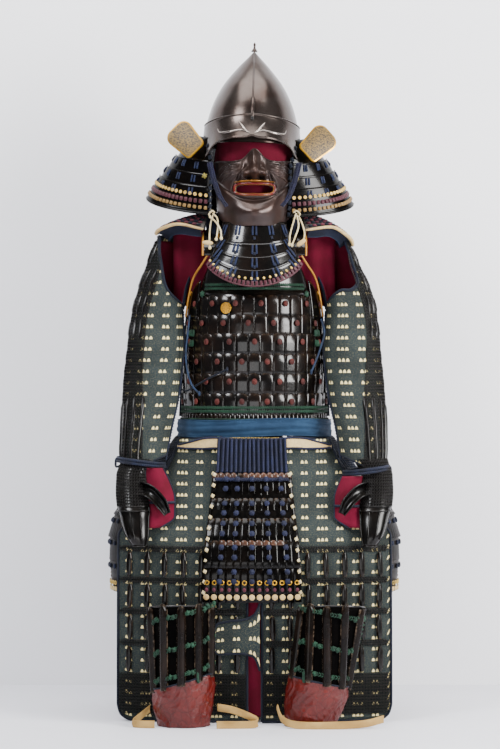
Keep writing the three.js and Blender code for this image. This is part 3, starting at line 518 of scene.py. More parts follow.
def piece(name, shape, skins, replaces=(), thick=0.0, sharp=None, offset=-1.0):
    """A bmesh in millimetres as a finished piece, with a wall behind it where thick is given."""
    for vert in shape.verts:
        vert.co = vert.co * MM + AXIS
    mesh = bpy.data.meshes.new(name)
    shape.to_mesh(mesh)
    shape.free()
    mesh.shade_smooth()
    if sharp:
        mesh.set_sharp_from_angle(angle=math.radians(sharp))
    thing = placed(bpy.data.objects.new(name, mesh))
    if thick:
        wall = thing.modifiers.new("wall", "SOLIDIFY")
        wall.thickness = thick * MM
        wall.offset = offset
        wall.use_even_offset = True
        wall.thickness_clamp = 1.0
    return dressed(thing, skins, replaces)


QUARTER = math.radians(90)


def shift(shape, by):
    bmesh.ops.translate(shape, vec=by, verts=shape.verts)
    return shape


def stretch(shape, by):
    bmesh.ops.scale(shape, vec=by, verts=shape.verts)
    return shape


def swing(shape, angle, axis):
    bmesh.ops.rotate(shape, cent=(0, 0, 0), matrix=Matrix.Rotation(angle, 3, axis), verts=shape.verts)
    return shape


def panel(place, across, down, closed=False, inside=None, chart=None):
    """A grid put in place by place(u, v), u to the right and v upwards, both from 0 to 1.

    inside is a point that the panel's faces look away from, and chart(u, v) gives the UV map.
    """
    shape = bmesh.new()
    uv = shape.loops.layers.uv.new("UVMap")
    bmesh.ops.create_grid(shape, x_segments=across, y_segments=down, size=0.5, calc_uvs=False)
    for face in shape.faces:
        for loop in face.loops:
            u, v = loop.vert.co.x + 0.5, loop.vert.co.y + 0.5
            loop[uv].uv = chart(u, v) if chart else (u, v)
    for vert in shape.verts:
        vert.co = place(vert.co.x + 0.5, vert.co.y + 0.5)
    if closed:
        bmesh.ops.remove_doubles(shape, verts=shape.verts, dist=0.01)
    look_out(shape, inside)
    return shape


def look_out(shape, inside=None):
    """Turns an open shape's faces away from an inner point, its middle line by default."""
    shape.normal_update()
    facing = 0.0
    for face in shape.faces:
        middle = face.calc_center_median()
        away = middle - (inside if inside else Vector((0, 0, middle.z)))
        facing += face.normal.dot(away) * face.calc_area()
    if facing < 0:
        bmesh.ops.reverse_faces(shape, faces=shape.faces)


def spun(profile, turns=32, squash=1.0):
    """A closed solid of revolution about Z from (radius, height) pairs that start and end on it."""
    shape = bmesh.new()
    corners = [shape.verts.new((radius, 0, height)) for radius, height in profile]
    edges = [shape.edges.new(pair) for pair in zip(corners, corners[1:])]
    bmesh.ops.spin(shape, geom=corners + edges, cent=(0, 0, 0), axis=(0, 0, 1), angle=2 * math.pi,
                   steps=turns, use_merge=True)
    bmesh.ops.remove_doubles(shape, verts=shape.verts, dist=0.001)
    stretch(shape, (1, squash, 1))
    bmesh.ops.recalc_face_normals(shape, faces=shape.faces)
    return shape


def edge_layer(shape):
    return shape.verts.layers.float.get("edge") or shape.verts.layers.float.new("edge")


def rim_marked(shape):
    """Marks the open rim of a sheet as its edge, for the rubbed finish."""
    layer = edge_layer(shape)
    for vert in shape.verts:
        vert[layer] = 1.0 if vert.is_boundary else 0.0
    return shape


def thickened(shape, thickness):
    """Closes a sheet that faces -Y into a plate with a back."""
    back = bmesh.ops.extrude_face_region(shape, geom=shape.faces[:], use_keep_orig=True)
    moved = [part for part in back["geom"] if isinstance(part, bmesh.types.BMVert)]
    bmesh.ops.translate(shape, vec=(0, thickness, 0), verts=moved)
    bmesh.ops.recalc_face_normals(shape, faces=shape.faces)
    return shape


def joined(*shapes):
    """Several bmeshes as one; the later ones are freed."""
    first = shapes[0]
    for other in shapes[1:]:
        carrier = bpy.data.meshes.new("carrier")
        other.to_mesh(carrier)
        other.free()
        first.from_mesh(carrier)
        bpy.data.meshes.remove(carrier)
    return first


def tinted(shape, index):
    for face in shape.faces:
        face.material_index = index
    return shape


def many(name, template, places, skins, replaces=(), sharp=None):
    """One piece made of a small shape repeated at each of a list of places."""
    template.verts.index_update()
    uv = template.loops.layers.uv.get("UVMap")
    edge = template.verts.layers.float.get("edge")
    corners = np.array([vert.co for vert in template.verts])
    loops = np.array([loop.vert.index for face in template.faces for loop in face.loops])
    charts = np.array([loop[uv].uv[:] if uv else (0, 0) for face in template.faces for loop in face.loops])
    sizes = np.array([len(face.verts) for face in template.faces])
    skin_of = np.array([face.material_index for face in template.faces])
    edges = np.array([vert[edge] if edge else 0.0 for vert in template.verts])
    template.free()
    turns = np.array([[row[:] for row in place.to_3x3()] for place in places])
    spots = np.array([place.translation[:] for place in places])
    count = len(places)
    points = (np.einsum("nij,vj->nvi", turns, corners) + spots[:, None, :]) * MM + np.array(AXIS)
    mesh = bpy.data.meshes.new(name)
    mesh.vertices.add(count * len(corners))
    mesh.vertices.foreach_set("co", points.ravel())
    mesh.loops.add(count * len(loops))
    offsets = np.arange(count)[:, None] * len(corners)
    mesh.loops.foreach_set("vertex_index", (loops[None, :] + offsets).ravel())
    mesh.polygons.add(count * len(sizes))
    starts = np.concatenate([[0], np.cumsum(sizes)[:-1]])
    mesh.polygons.foreach_set("loop_start", (starts[None, :] + np.arange(count)[:, None] * len(loops)).ravel())
    mesh.polygons.foreach_set("material_index", np.tile(skin_of, count))
    mesh.update(calc_edges=True)
    mesh.uv_layers.new(name="UVMap").data.foreach_set("uv", np.tile(charts, (count, 1)).ravel())
    mesh.attributes.new("edge", "FLOAT", "POINT").data.foreach_set("value", np.tile(edges, count))
    mesh.validate()
    mesh.shade_smooth()
    if sharp:
        mesh.set_sharp_from_angle(angle=math.radians(sharp))
    return dressed(placed(bpy.data.objects.new(name, mesh)), skins, replaces)


def stand_on(surface, u, v, out=0.0, du=0.004, dv=0.004, turn=0.0, size=(1, 1, 1)):
    """A place on a surface: X to the right along it, Z up it and Y into it."""
    right = (surface(u + du, v) - surface(u - du, v)).normalized()
    up = surface(u, v + dv) - surface(u, v - dv)
    outward = right.cross(up).normalized()
    place = Matrix((right, -outward, right.cross(-outward))).transposed().to_4x4()
    place.translation = surface(u, v) + outward * out
    return place @ Matrix.Rotation(math.radians(turn), 4, "Y") @ Matrix.Diagonal((*size, 1))


# The same with the steps that suit a surface by angle and height, the front tasset, the thigh and the shin guards.
lay = partial(stand_on, du=0.5, dv=0.5)
lay_front = partial(stand_on, du=0.02, dv=2)
lay_thigh = partial(stand_on, du=2, dv=2)
lay_shin = partial(stand_on, du=1, dv=4)


def smooth_path(points, spacing):
    """A list of points made even and smooth, spacing apart."""
    fixed = [Vector(p) for p in points]
    ends = [fixed[0] * 2 - fixed[1], *fixed, fixed[-1] * 2 - fixed[-2]]
    fine = []
    for a, b, c, d in zip(ends, ends[1:], ends[2:], ends[3:]):
        for i in range(16):
            t = i / 16
            fine.append(0.5 * (2 * b + (c - a) * t + (2 * a - 5 * b + 4 * c - d) * t * t
                               + (3 * b - a - 3 * c + d) * t**3))
    fine.append(fixed[-1])
    lengths = np.concatenate([[0], np.cumsum([(b - a).length for a, b in zip(fine, fine[1:])])])
    count = max(2, round(lengths[-1] / spacing))
    array = np.array(fine)
    stops = np.linspace(0, lengths[-1], count + 1)
    return [Vector(p) for p in np.stack([np.interp(stops, lengths, array[:, k]) for k in range(3)], 1)]


def from_axis(p):
    return Vector((p.x, p.y, 0)).normalized()


def along(points, spacing, outward=from_axis, turn=0.0, wobble=0.0, seed=3):
    """Places strung along a path: X runs along it and Y into what it lies on."""
    path = smooth_path(points, spacing)
    chance = np.random.default_rng(seed)
    places = []
    for before, here, after in zip(path, path[1:], path[2:]):
        ahead = (after - before).normalized()
        inward = -outward(here)
        inward = (inward - ahead * inward.dot(ahead)).normalized()
        place = Matrix((ahead, inward, ahead.cross(inward))).transposed().to_4x4()
        place.translation = here
        lean = turn + wobble * chance.uniform(-1, 1)
        places.append(place @ Matrix.Rotation(math.radians(lean), 4, "Y"))
    return places


def tubes(name, paths, radius, skin, replaces=(), spacing=5.0, taper=None):
    """Round cords or rods along paths in millimetres, as one curve."""
    data = bpy.data.curves.new(name, "CURVE")
    data.dimensions = "3D"
    data.bevel_depth = radius * MM
    data.bevel_resolution = 1
    data.use_fill_caps = True
    for points in paths:
        path = smooth_path(points, spacing)
        spline = data.splines.new("POLY")
        spline.points.add(len(path) - 1)
        for i, (corner, p) in enumerate(zip(spline.points, path)):
            corner.co = (*(p * MM + AXIS), 1)
            corner.radius = taper(i / (len(path) - 1)) if taper else 1.0
        spline.use_smooth = True
    return dressed(placed(bpy.data.objects.new(name, data)), skin, replaces)


# ------------------------------------------------------------------ small repeated shapes
def bead(width, depth, height, around=8, rings=5):
    shape = bmesh.new()
    bmesh.ops.create_uvsphere(shape, u_segments=around, v_segments=rings, radius=0.5)
    stretch(shape, (width, depth, height))
    return shape


def strand(length, thickness):
    """One visible strand of a twisted cord, to be laid aslant."""
    return bead(length, thickness, thickness, 5, 4)


def knot(width, height, depth):
    """A crossed lacing knot: two fat loops over each other."""
    halves = []
    for lean in (-32, 32):
        loop = bead(width * 0.52, depth, height, 6, 5)
        swing(loop, math.radians(lean), "Y")
        halves.append(loop)
    return joined(*halves)


def ring(radius, thickness, around=10, section=4):
    """A ring that faces -Y."""
    shape = bmesh.new()
    circle = bmesh.ops.create_circle(shape, segments=section, radius=thickness)
    bmesh.ops.translate(shape, vec=(radius, 0, 0), verts=circle["verts"])
    bmesh.ops.rotate(shape, cent=(radius, 0, 0), matrix=Matrix.Rotation(math.radians(90), 3, "X"),
                     verts=shape.verts)
    bmesh.ops.spin(shape, geom=shape.verts[:] + shape.edges[:], cent=(0, 0, 0), axis=(0, 0, 1),
                   angle=2 * math.pi, steps=around, use_merge=True)
    bmesh.ops.remove_doubles(shape, verts=shape.verts, dist=0.001)
    swing(shape, QUARTER, "X")
    bmesh.ops.recalc_face_normals(shape, faces=shape.faces)
    return shape


def disc(radius, thickness, dome=0.3, around=12):
    """A round leather or metal disc that faces -Y, domed a little."""
    shape = bmesh.new()
    bmesh.ops.create_circle(shape, segments=around, radius=radius, cap_ends=True)
    swing(shape, QUARTER, "X")
    layer = edge_layer(shape)
    for vert in shape.verts:
        vert[layer] = 1.0
    inner = bmesh.ops.inset_region(shape, faces=shape.faces[:], thickness=radius * 0.25, use_boundary=True)
    middle = [face for face in shape.faces if face not in inner["faces"]]
    for vert in {vert for face in middle for vert in face.verts}:
        vert[layer] = 0.0
        vert.co.y -= dome * thickness
    return thickened(shape, thickness)


def braid(width, length, rise, across=2, down=5):
    """A flat braid that goes up over a plate and back into it, its middle raised."""
    shape = bmesh.new()
    uv = shape.loops.layers.uv.new("UVMap")
    bmesh.ops.create_grid(shape, x_segments=across, y_segments=down, size=0.5)
    for face in shape.faces:
        for loop in face.loops:
            loop[uv].uv = (loop.vert.co.x + 0.5, (loop.vert.co.y + 0.5) * length * MM)
    for vert in shape.verts:
        u, v = vert.co.x, vert.co.y
        arch = rise * (1 - (2 * v) ** 4) * (1 - 0.5 * (2 * u) ** 2)
        vert.co = (u * width, -arch, v * length)
    bmesh.ops.reverse_faces(shape, faces=shape.faces)
    look_out(shape, Vector((0, 50, 0)))
    return thickened(shape, 1.2)


def scale_plate(width, height, thickness, hook=4.0, bulge=1.6, across=4, down=3):
    """An imitation scale: a narrow plate with a hooked head, a little convex, its rim rounded."""
    shape = bmesh.new()
    bmesh.ops.create_grid(shape, x_segments=across, y_segments=down, size=0.5)
    for vert in shape.verts:
        u, v = vert.co.x + 0.5, vert.co.y + 0.5
        head = hook * (math.sin(math.pi * min(max(u, 0.04), 0.96)) ** 0.5 - 0.55 * u) * max(0.0, 3 * v - 2)
        vert.co = ((u - 0.5) * width, -bulge * (1 - (2 * u - 1) ** 2), (v - 1) * height + head)
    layer = edge_layer(shape)
    for vert in shape.verts:
        vert[layer] = 1.0 if vert.is_boundary and vert.co.z > -height * 0.2 else 0.0
    look_out(shape, Vector((0, 50, 0)))
    thickened(shape, thickness)
    rim = [e for e in shape.edges if e.calc_face_angle(0) > 0.9 and max(v.co.y for v in e.verts) < thickness * 0.6]
    bmesh.ops.bevel(shape, geom=rim, offset=0.5, offset_type="OFFSET", segments=1, profile=0.5, affect="EDGES",
                    material=-1)
    return shape


def splint(width, height, thickness, rise=1.5):
    """A narrow lacquered bar with a rounded front and rounded ends."""
    shape = bmesh.new()
    bmesh.ops.create_grid(shape, x_segments=4, y_segments=6, size=0.5)
    for vert in shape.verts:
        u, v = vert.co.x * 2, vert.co.y * 2
        narrow = 1 - 0.45 * max(0.0, abs(v) - 0.8) / 0.2
        vert.co = (u * width / 2 * narrow, -rise * (1 - u * u) - rise * 0.5 * (1 - v**6), v * height / 2)
    look_out(shape, Vector((0, 50, 0)))
    rim_marked(shape)
    return thickened(shape, thickness)


# ------------------------------------------------------------------ forms the pieces lie on
BODY = table("z half_width half_depth", [
    (1110, 118, 98), (1060, 136, 112), (1000, 149, 121), (940, 157, 126),
    (860, 164, 129), (780, 169, 131), (700, 173, 134), (600, 177, 137),
])


def on_body(angle, z, out=0.0):
    row = BODY(z)
    return Vector(((row.half_width + out) * wave(angle), -(row.half_depth + out) * cowave(angle), z))


HEAD_Y = -15
DEPTH_SHARE = 1.12
BOWL = table("z half_width", [
    (APEX_Z, 2), (1558, 15), (1536, 36), (1492, 71), (1450, 93), (1410, 106), (1375, 113), (1346, 115),
])
# The helmet sits a little askew about its apex, lower towards +X.
ASKEW = Matrix.Translation((0, 0, APEX_Z)) @ Matrix.Rotation(0.03, 4, "Y") @ Matrix.Translation((0, 0, -APEX_Z))


def on_bowl(angle, z, out=0.0):
    half = BOWL(z).half_width
    return Vector(((half + out) * wave(angle), HEAD_Y - (half * DEPTH_SHARE + out) * cowave(angle), z))


def askew(shape):
    bmesh.ops.transform(shape, matrix=ASKEW, verts=shape.verts)
    return shape


# ------------------------------------------------------------------ loose cords
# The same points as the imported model's cords, in metres from the armour's middle line.
LOOSE_CORDS = {
    "cord_left": (0.0048, [
        (-0.154, -0.072, 0.940), (-0.157, -0.078, 0.905), (-0.162, -0.084, 0.860), (-0.160, -0.094, 0.815),
        (-0.148, -0.106, 0.776), (-0.130, -0.112, 0.755),
    ]),
    "cord_right": (0.0048, [
        (0.158, -0.066, 0.932), (0.166, -0.074, 0.900), (0.158, -0.084, 0.868), (0.146, -0.098, 0.834),
        (0.134, -0.108, 0.806),
    ]),
    "cord_dark": (0.0044, [
        (-0.171, -0.052, 0.764), (-0.158, -0.074, 0.762), (-0.128, -0.100, 0.780), (-0.096, -0.118, 0.797),
        (-0.064, -0.130, 0.812),
    ]),
}


def path_length(path):
    return sum((b - a).length for a, b in zip(path, path[1:]))


def loose_cords():
    """The body's three loose ties, each a cord from its upper end down to a tassel at its lower end."""
    for name, (diameter, points) in LOOSE_CORDS.items():
        route = [Vector(p) / MM for p in points]
        path = smooth_path(route, 4.0)
        skin = DARK_PIPING if name == "cord_dark" else BLUE_TIE
        tie = tubes(f"{name}_silk", [route], diameter / 2 / MM, skin, [name], spacing=4.0)
        tassel = many(f"{name}_end", bead(6.5, 6.5, 13), [Matrix.Translation(path[-1])], skin)


loose_cords()


# ------------------------------------------------------------------ helmet
def half_round(surface_point, half, height):
    """A place function for a bead of half round section along a line: u round it, v along it."""
    def place(u, v):
        turn = mix(-90, 90, u)
        return surface_point(v, half * wave(turn), height * cowave(turn))
    return place


def helmet_bowl():
    profile = [(0.0, APEX_Z + 0.5)] + [(BOWL(z).half_width, z) for z in steps(APEX_Z - 3, 1346, 34)]
    inner = [(max(radius - 2.6, 0.0), z - 1.5) for radius, z in reversed(profile[3:])] + [(0.0, APEX_Z - 12)]
    shape = spun(profile + inner, 72, DEPTH_SHARE)
    shift(shape, (0, HEAD_Y, 0))
    piece("bowl", askew(shape), HELMET, ["helmet_bowl"], sharp=40)


def helmet_rib():
    def rib(v, x, out):
        return on_bowl(0, mix(1578, 1428, v), 0.6 + out) + Vector((x, 0, 0))

    def holder(v, x, out):
        return on_bowl(0, mix(1452, 1405, v), 1.0 + out * (0.55 + 0.45 * wave(180 * v))) + Vector((x, 0, 0))

    spike = spun([(0, 0.4), (8, 0.4), (6.5, 4), (3.4, 8), (2.4, 14), (3.6, 18), (2, 21), (0, 24)], 20)
    shift(spike, (0, HEAD_Y, APEX_Z))
    rib_shape = panel(half_round(rib, 2.2, 4.8), 8, 30, inside=Vector((0, 0, 1500)))
    holder_shape = panel(half_round(holder, 4.6, 7.0), 8, 10, inside=Vector((0, 0, 1430)))
    piece("rib_and_spike", askew(joined(rib_shape, holder_shape, spike)), HELMET, ["helmet_rib"])

    # The crest holder's keyhole: black beads in its shape stand for the dark inside the opening, a painted shade.
    slot = bead(7, 4, 15, 12, 8)
    eye = bead(8.5, 4, 8.5, 12, 8)
    shift(eye, (0, 0, 6))
    keyhole_shade = joined(slot, eye)
    shift(keyhole_shade, on_bowl(0, 1396, 3.5))
    piece("crest_keyhole", askew(keyhole_shade), BLACK)


VISOR_HALF = 82
VISOR_FOOT = table("angle z", [(0, 1357), (20, 1354), (36, 1346), (47, 1334), (57, 1315), (70, 1306), (82, 1304)])


def on_visor(angle, v, out=0.0):
    """A place on the brow visor, v from its riveted top edge down to its lip."""
    side = abs(angle) / VISOR_HALF
    top = 1412 - 21 * side**1.4
    bottom = VISOR_FOOT(abs(angle)).z + 5 * math.exp(-((angle / 5) ** 2)) - 3 * math.exp(-((angle / 14) ** 2))
    edge = on_bowl(angle, top, 2.4 + out)
    lip = on_bowl(angle, 1380, 18 - 9 * side + out)
    curve = v**1.35
    return Vector((mix(edge.x, lip.x, curve), mix(edge.y, lip.y, curve), mix(top, bottom, v)))


def brow_visor():
    plate = panel(lambda u, v: on_visor(mix(-VISOR_HALF, VISOR_HALF, u), 1 - v, 2.6), 72, 14,
                  inside=Vector((0, 0, 1370)))
    piece("visor", askew(plate), HELMET, ["brow_visor"], thick=2.4)
    around = steps(-VISOR_HALF, VISOR_HALF, 40)
    lip = [ASKEW @ on_visor(angle, 1.0, 2.0) for angle in around]
    band = [ASKEW @ on_visor(angle, 0.0, 2.2) for angle in around]
    tubes("visor_rolled_lip", [lip], 1.9, HELMET)
    tubes("visor_top_band", [band], 1.5, HELMET)
    # Beaten eyebrows: a long sweep outwards and a short flick up beside the middle.
    sweeps = []
    for side in SIDES.values():
        sweeps.append([(side * 43, 0.42), (side * 38, 0.62), (side * 27, 0.72), (side * 13, 0.68), (side * 5, 0.78)])
        sweeps.append([(side * 15, 0.34), (side * 10, 0.56), (side * 5, 0.78), (side * 2, 0.86)])
    paths = [[ASKEW @ on_visor(angle, v, 3.4) for angle, v in sweep] for sweep in sweeps]
    # The eyebrows take the paler brow iron, a painted highlight on the ridges.
    tubes("beaten_eyebrows", paths, 2.7, BROW_IRON_WITH_PAINTED_HIGHLIGHT, spacing=2.5,
          taper=lambda t: 0.35 + 0.75 * wave(180 * t**0.8))


def ear_wings():
    """Rounded paddles faced with sprigged leather, with a gilt rim, folded out beside the brow."""
    base, tip, length, corner = 27, 37, 84, 25
    for name, side in SIDES.items():
        shape = bmesh.new()
        outline = [(-base, 0), (base, 0), (tip, length), (-tip, length)]
        shape.faces.new([shape.verts.new((x, y, 0)) for x, y in outline])
        shape.verts.ensure_lookup_table()
        tops = [vert for vert in shape.verts if vert.co.y > 1]
        feet = [vert for vert in shape.verts if vert.co.y < 1]
        for verts, radius in ((tops, corner), (feet, 9)):
            bmesh.ops.bevel(shape, geom=verts, offset=radius, segments=7, profile=0.5, affect="VERTICES", material=-1)
        for vert in shape.verts:
            vert.co.z += 2.0 * (vert.co.y / length) ** 2
        face = shape.faces[:]
        bmesh.ops.inset_region(shape, faces=face, thickness=3.2, use_boundary=True)
        rim = [f for f in shape.faces if f not in face]
        for f in rim:
            f.material_index = 1
        for vert in {vert for f in face for vert in f.verts}:
            vert.co.z += 1.0
        back = bmesh.ops.extrude_face_region(shape, geom=shape.faces[:], use_keep_orig=True)
        moved = [part for part in back["geom"] if isinstance(part, bmesh.types.BMVert)]
        bmesh.ops.translate(shape, vec=(0, 0, 4), verts=moved)
        swing(shape, -0.82, "Z")
        swing(shape, math.pi / 2 - 0.18, "X")
        swing(shape, 0.3, "Z")
        shift(shape, (128, -104, 1322))
        stretch(shape, (side, 1, 1))
        bmesh.ops.recalc_face_normals(shape, faces=shape.faces)
        piece(f"ear_wing_leather_{name}", askew(shape), [WING_LEATHER, GOLD],
              [f"ear_wing_{name}"], sharp=35)


def wing_leather():
    """Gold-cream leather printed with small dark sprigs and fine slanting lines."""
    made, s, sockets = material("sprigged leather", roughness=0.5)
    where = object_place(s)
    drawn = s.add("ShaderNodeMapping", Vector=where, Rotation=(0.0, 0.75, 0.0), Scale=(1.0, 1.0, 1.9)).outputs[0]
    sprigs = s.math("MULTIPLY", s.span(s.cells(drawn, 210), 0.42, 0.56, 1.0, 0.0),
                    s.span(s.noise(where, 260, 3, 0.7), 0.38, 0.46))
    parts = s.add("ShaderNodeSeparateXYZ", Vector=drawn).outputs
    lines = s.span(s.math("PINGPONG", s.math("DIVIDE", parts["X"], 0.014), 0.5), 0.0, 0.06, 0.8, 0.0)
    tone = s.blend(s.noise(where, 40, 3), colour(106, 84, 32), colour(138, 112, 50))
    printed = s.math("MAXIMUM", sprigs, lines)
    s.put(sockets["Base Color"], s.blend(s.math("MULTIPLY", printed, 0.92), tone, colour(40, 26, 18)))
    bump(s, sockets, s.noise(where, 700, 3), 0.0004, 0.5)
    return made


WING_LEATHER = wing_leather()
helmet_bowl()
helmet_rib()
brow_visor()
ear_wings()

# ------------------------------------------------------------------ neck guard
NECK = table("v z y half_width front back end dip", [
    (0, 1370, -15, 124, 98, 142, 52, 12), (0.35, 1319, -12, 176, 92, 178, 31, 22),
    (0.68, 1268, -6, 214, 90, 200, 25, 33), (1, 1219, 0, 247, 94, 218, 21, 42),
])
LACE_ASIDE = 0.004  # half the space between the laces of a pair, as a share of the way round
NECK_LAMES = [(0.02, 0.37), (0.35, 0.54), (0.52, 0.70), (0.67, 1.0)]


def on_neck(u, v, out=0.0):
    """u from one front end round the back to the other, v from the bowl down to the rim."""
    row = NECK(v)
    angle = mix(row.end, 360 - row.end, 1 - u)
    to_front = max(cowave(angle), 0) / cowave(row.end)
    depth = row.front if cowave(angle) > 0 else row.back
    z = row.z - row.dip * to_front - 16 * v * max(-cowave(angle), 0)
    flat = Vector(((row.half_width + out) * wave(angle), row.y - (depth + out) * cowave(angle), z))
    return flat + Vector((0, 0, out * 0.7))


def neck_lame(first, last, lip=3.4):
    """A glossy lame whose head stands out over the one above and whose edges are rolled."""
    def place(u, v):
        share = 1 - v
        head = lip * (1 - share) + 0.8
        roll = 1.6 * max(0.0, 1 - share / 0.05) + 1.4 * max(0.0, (share - 0.94) / 0.06)
        return ASKEW @ on_neck(u, mix(first, last, share), head + roll)
    return panel(place, 90, 14, inside=Vector((0, 0, 1230)))


def neck_guard():
    for number, (first, last) in enumerate(NECK_LAMES):
        names = ["neck_guard_upper"] if number == 0 else ["neck_guard_rim"] if number == 3 else []
        piece(f"neck_lame_{number + 1}", neck_lame(first, last), LAME, names, thick=2.2)

    def surface(u, v):
        return ASKEW @ on_neck(1 - u, 1 - v, 0.0)

    def row_of(v, count, out, size=(1, 1, 1)):
        return [stand_on(surface, u, 1 - v, out, size=size) for u in steps(0.012, 0.988, count)]

    many("neck_rings", joined(ring(3.4, 1.2), tinted(disc(2.4, 1.2), 1)), row_of(0.765, 78, 5.2),
         [PALE_GOLD, CREAM])
    many("neck_maroon_blocks", block(8.4, 10, 2.4), row_of(0.848, 86, 4.8), MAROON)
    many("neck_cream_blocks", block(7.8, 8.4, 2.6), row_of(0.93, 86, 4.6), OLD_CREAM)
    rim = [surface(u, 0.0) + Vector((0, 0, -1)) for u in steps(0, 1, 80)]
    tubes("neck_rim_cord", [rim], 3.4, LAME)
    # Dark blue lacing in pairs down the lames, and knots along the front ends.
    pairs = []
    for u in steps(0.05, 0.95, 18):
        for v in (0.40, 0.57, 0.73):
            for aside in (-LACE_ASIDE, LACE_ASIDE):
                pairs.append(stand_on(surface, u + aside, 1 - v, 4.2))
    many("neck_lacing", braid(4.2, 17, 2.2), pairs, NAVY)
    ends = []
    for u in (0.003, 0.997):
        for v in steps(0.12, 0.98, 11):
            ends.append(stand_on(surface, u, 1 - v, 4.5, turn=25 * wave(900 * v)))
    many("neck_end_knots", knot(12, 13, 9), ends, DARK_PIPING)
    tufts = [stand_on(surface, u, 1 - 0.52, 6.0, turn=20) for u in (0.02, 0.98)]
    many("neck_tufts", joined(knot(12, 15, 9), strand(16, 4)), tufts, OLIVE)


def block(width, height, thickness):
    """A small leather block with rounded corners, facing -Y."""
    shape = bmesh.new()
    bmesh.ops.create_grid(shape, x_segments=1, y_segments=1, size=0.5)
    stretch(shape, (width, height, 1))
    swing(shape, QUARTER, "X")
    bmesh.ops.bevel(shape, geom=shape.verts[:], offset=min(width, height) * 0.25, segments=2, profile=0.5,
                    affect="VERTICES", material=-1)
    layer = edge_layer(shape)
    for vert in shape.verts:
        vert[layer] = 1.0
    face = shape.faces[:]
    bmesh.ops.inset_region(shape, faces=face, thickness=min(width, height) * 0.14, use_boundary=True)
    for vert in {vert for f in face for vert in f.verts}:
        vert.co.y -= 0.7
        vert[layer] = 0.0
    return thickened(shape, thickness)


OLIVE = silk("olive cord", (120, 112, 52), (150, 138, 70))
neck_guard()

# ------------------------------------------------------------------ mask
MASK = table("z half_width half_depth centre_y", [
    (1335, 92, 84, -44), (1290, 94, 86, -44), (1235, 92, 87, -44), (1190, 89, 88, -46), (1150, 82, 82, -48),
])
MASK_REACH = 84
# The strongest folds: below the eye, over the cheek, beside the nose and mouth, and round the nostril.
MASK_RIDGES = [
    [(31, 1293), (48, 1297), (68, 1292), (86, 1282)], [(34, 1283), (52, 1284), (70, 1276), (84, 1264)],
    [(38, 1272), (54, 1268), (70, 1260), (80, 1250)], [(27, 1284), (42, 1268), (53, 1246), (54, 1226), (44, 1208)],
    [(12, 1258), (23, 1259), (28, 1268), (24, 1280), (15, 1287)],
]


def mask_relief(x, z):
    """The carved forms of the iron face: a hooked nose, folded cheeks, lips and a round chin."""
    side = abs(x)
    nose = hill(x, z, 0, 1277, 19, 15, 32) + hill(x, z, 0, 1306, 10, 26, 15)
    nose += 19 * (hill(x, z, -22, 1272, 8, 9, 1) + hill(x, z, 22, 1272, 8, 9, 1))
    nose -= 19 * (hill(x, z, -15, 1262, 6, 5, 1) + hill(x, z, 15, 1262, 6, 5, 1))
    nose -= 7 * (hill(x, z, -12, 1284, 3.5, 10, 1) + hill(x, z, 12, 1284, 3.5, 10, 1))
    cheek = hill(side, z, 54, 1276, 20, 20, 13)
    folds = 0.0
    for number, (z_inner, z_outer) in enumerate([(1303, 1300), (1291, 1284), (1280, 1268)]):
        share = min(max((side - 36) / 40, 0), 1)
        line = mix(z_inner, z_outer, share) + 3 * wave(180 * share)
        folds += (6.4 - 0.8 * number) * math.exp(-(((z - line) / 3.2) ** 2)) * wave(180 * share)
    crease_x = 33 + 9 * (1272 - z) / 40 + 3 * wave(6 * (1272 - z))
    crease = 7.5 * math.exp(-(((side - crease_x) / 3.4) ** 2)) * math.exp(-(((z - 1262) / 24) ** 2))
    lips = hill(x, z, 0, 1249, 46, 6, 6) + hill(x, z, 0, 1221, 42, 6, 6)
    jaw_line = 6 * math.exp(-(((z - 1208 - 0.006 * x * x) / 4.0) ** 2))
    chin = hill(x, z, 0, 1180, 36, 20, 15) + hill(side, z, 44, 1196, 18, 16, 5)
    return nose + cheek + folds + lips + chin - crease - jaw_line


def on_mask(angle, v, out=0.0):
    """v from the upper edge down to the chin."""
    side = abs(angle) / MASK_REACH
    top = 1304 + 26 * math.exp(-((angle / 12) ** 2)) - 3 * math.exp(-(((abs(angle) - 34) / 14) ** 2))
    bottom = 1149 + 30 * side**3
    z = mix(top, bottom, v)
    row = MASK(z)
    relief = mask_relief(row.half_width * wave(angle), z)
    reach = row.half_depth + relief + out
    return Vector(((row.half_width + 0.3 * relief + out) * wave(angle), row.centre_y - reach * cowave(angle), z))


def mask_place(angle, z, out=0.0):
    """The same surface by height."""
    top = on_mask(angle, 0).z
    bottom = on_mask(angle, 1).z
    return on_mask(angle, (top - z) / (top - bottom), out)


MOUTH = {"z": 1235, "half_width": 43, "half_height": 10}
MOUTH_RADIUS, CHEEK_RADIUS = 91, 93  # the half width of the mask there, which turns a distance into an angle


def mouth_line(count, grow):
    """The rim of the mouth, an oval drawn out into square corners, as (angle, z)."""
    rim = []
    for turn in steps(0, 360, count)[:-1]:
        c, s = cowave(turn), wave(turn)
        x = (MOUTH["half_width"] + grow) * math.copysign(abs(c) ** 0.55, c)
        z = MOUTH["z"] + (MOUTH["half_height"] + grow) * math.copysign(abs(s) ** 0.7, s)
        z += 2.5 * (x / MOUTH["half_width"]) ** 2 * (s > 0)
        rim.append((math.degrees(math.asin(x / MOUTH_RADIUS)), z))
    return rim


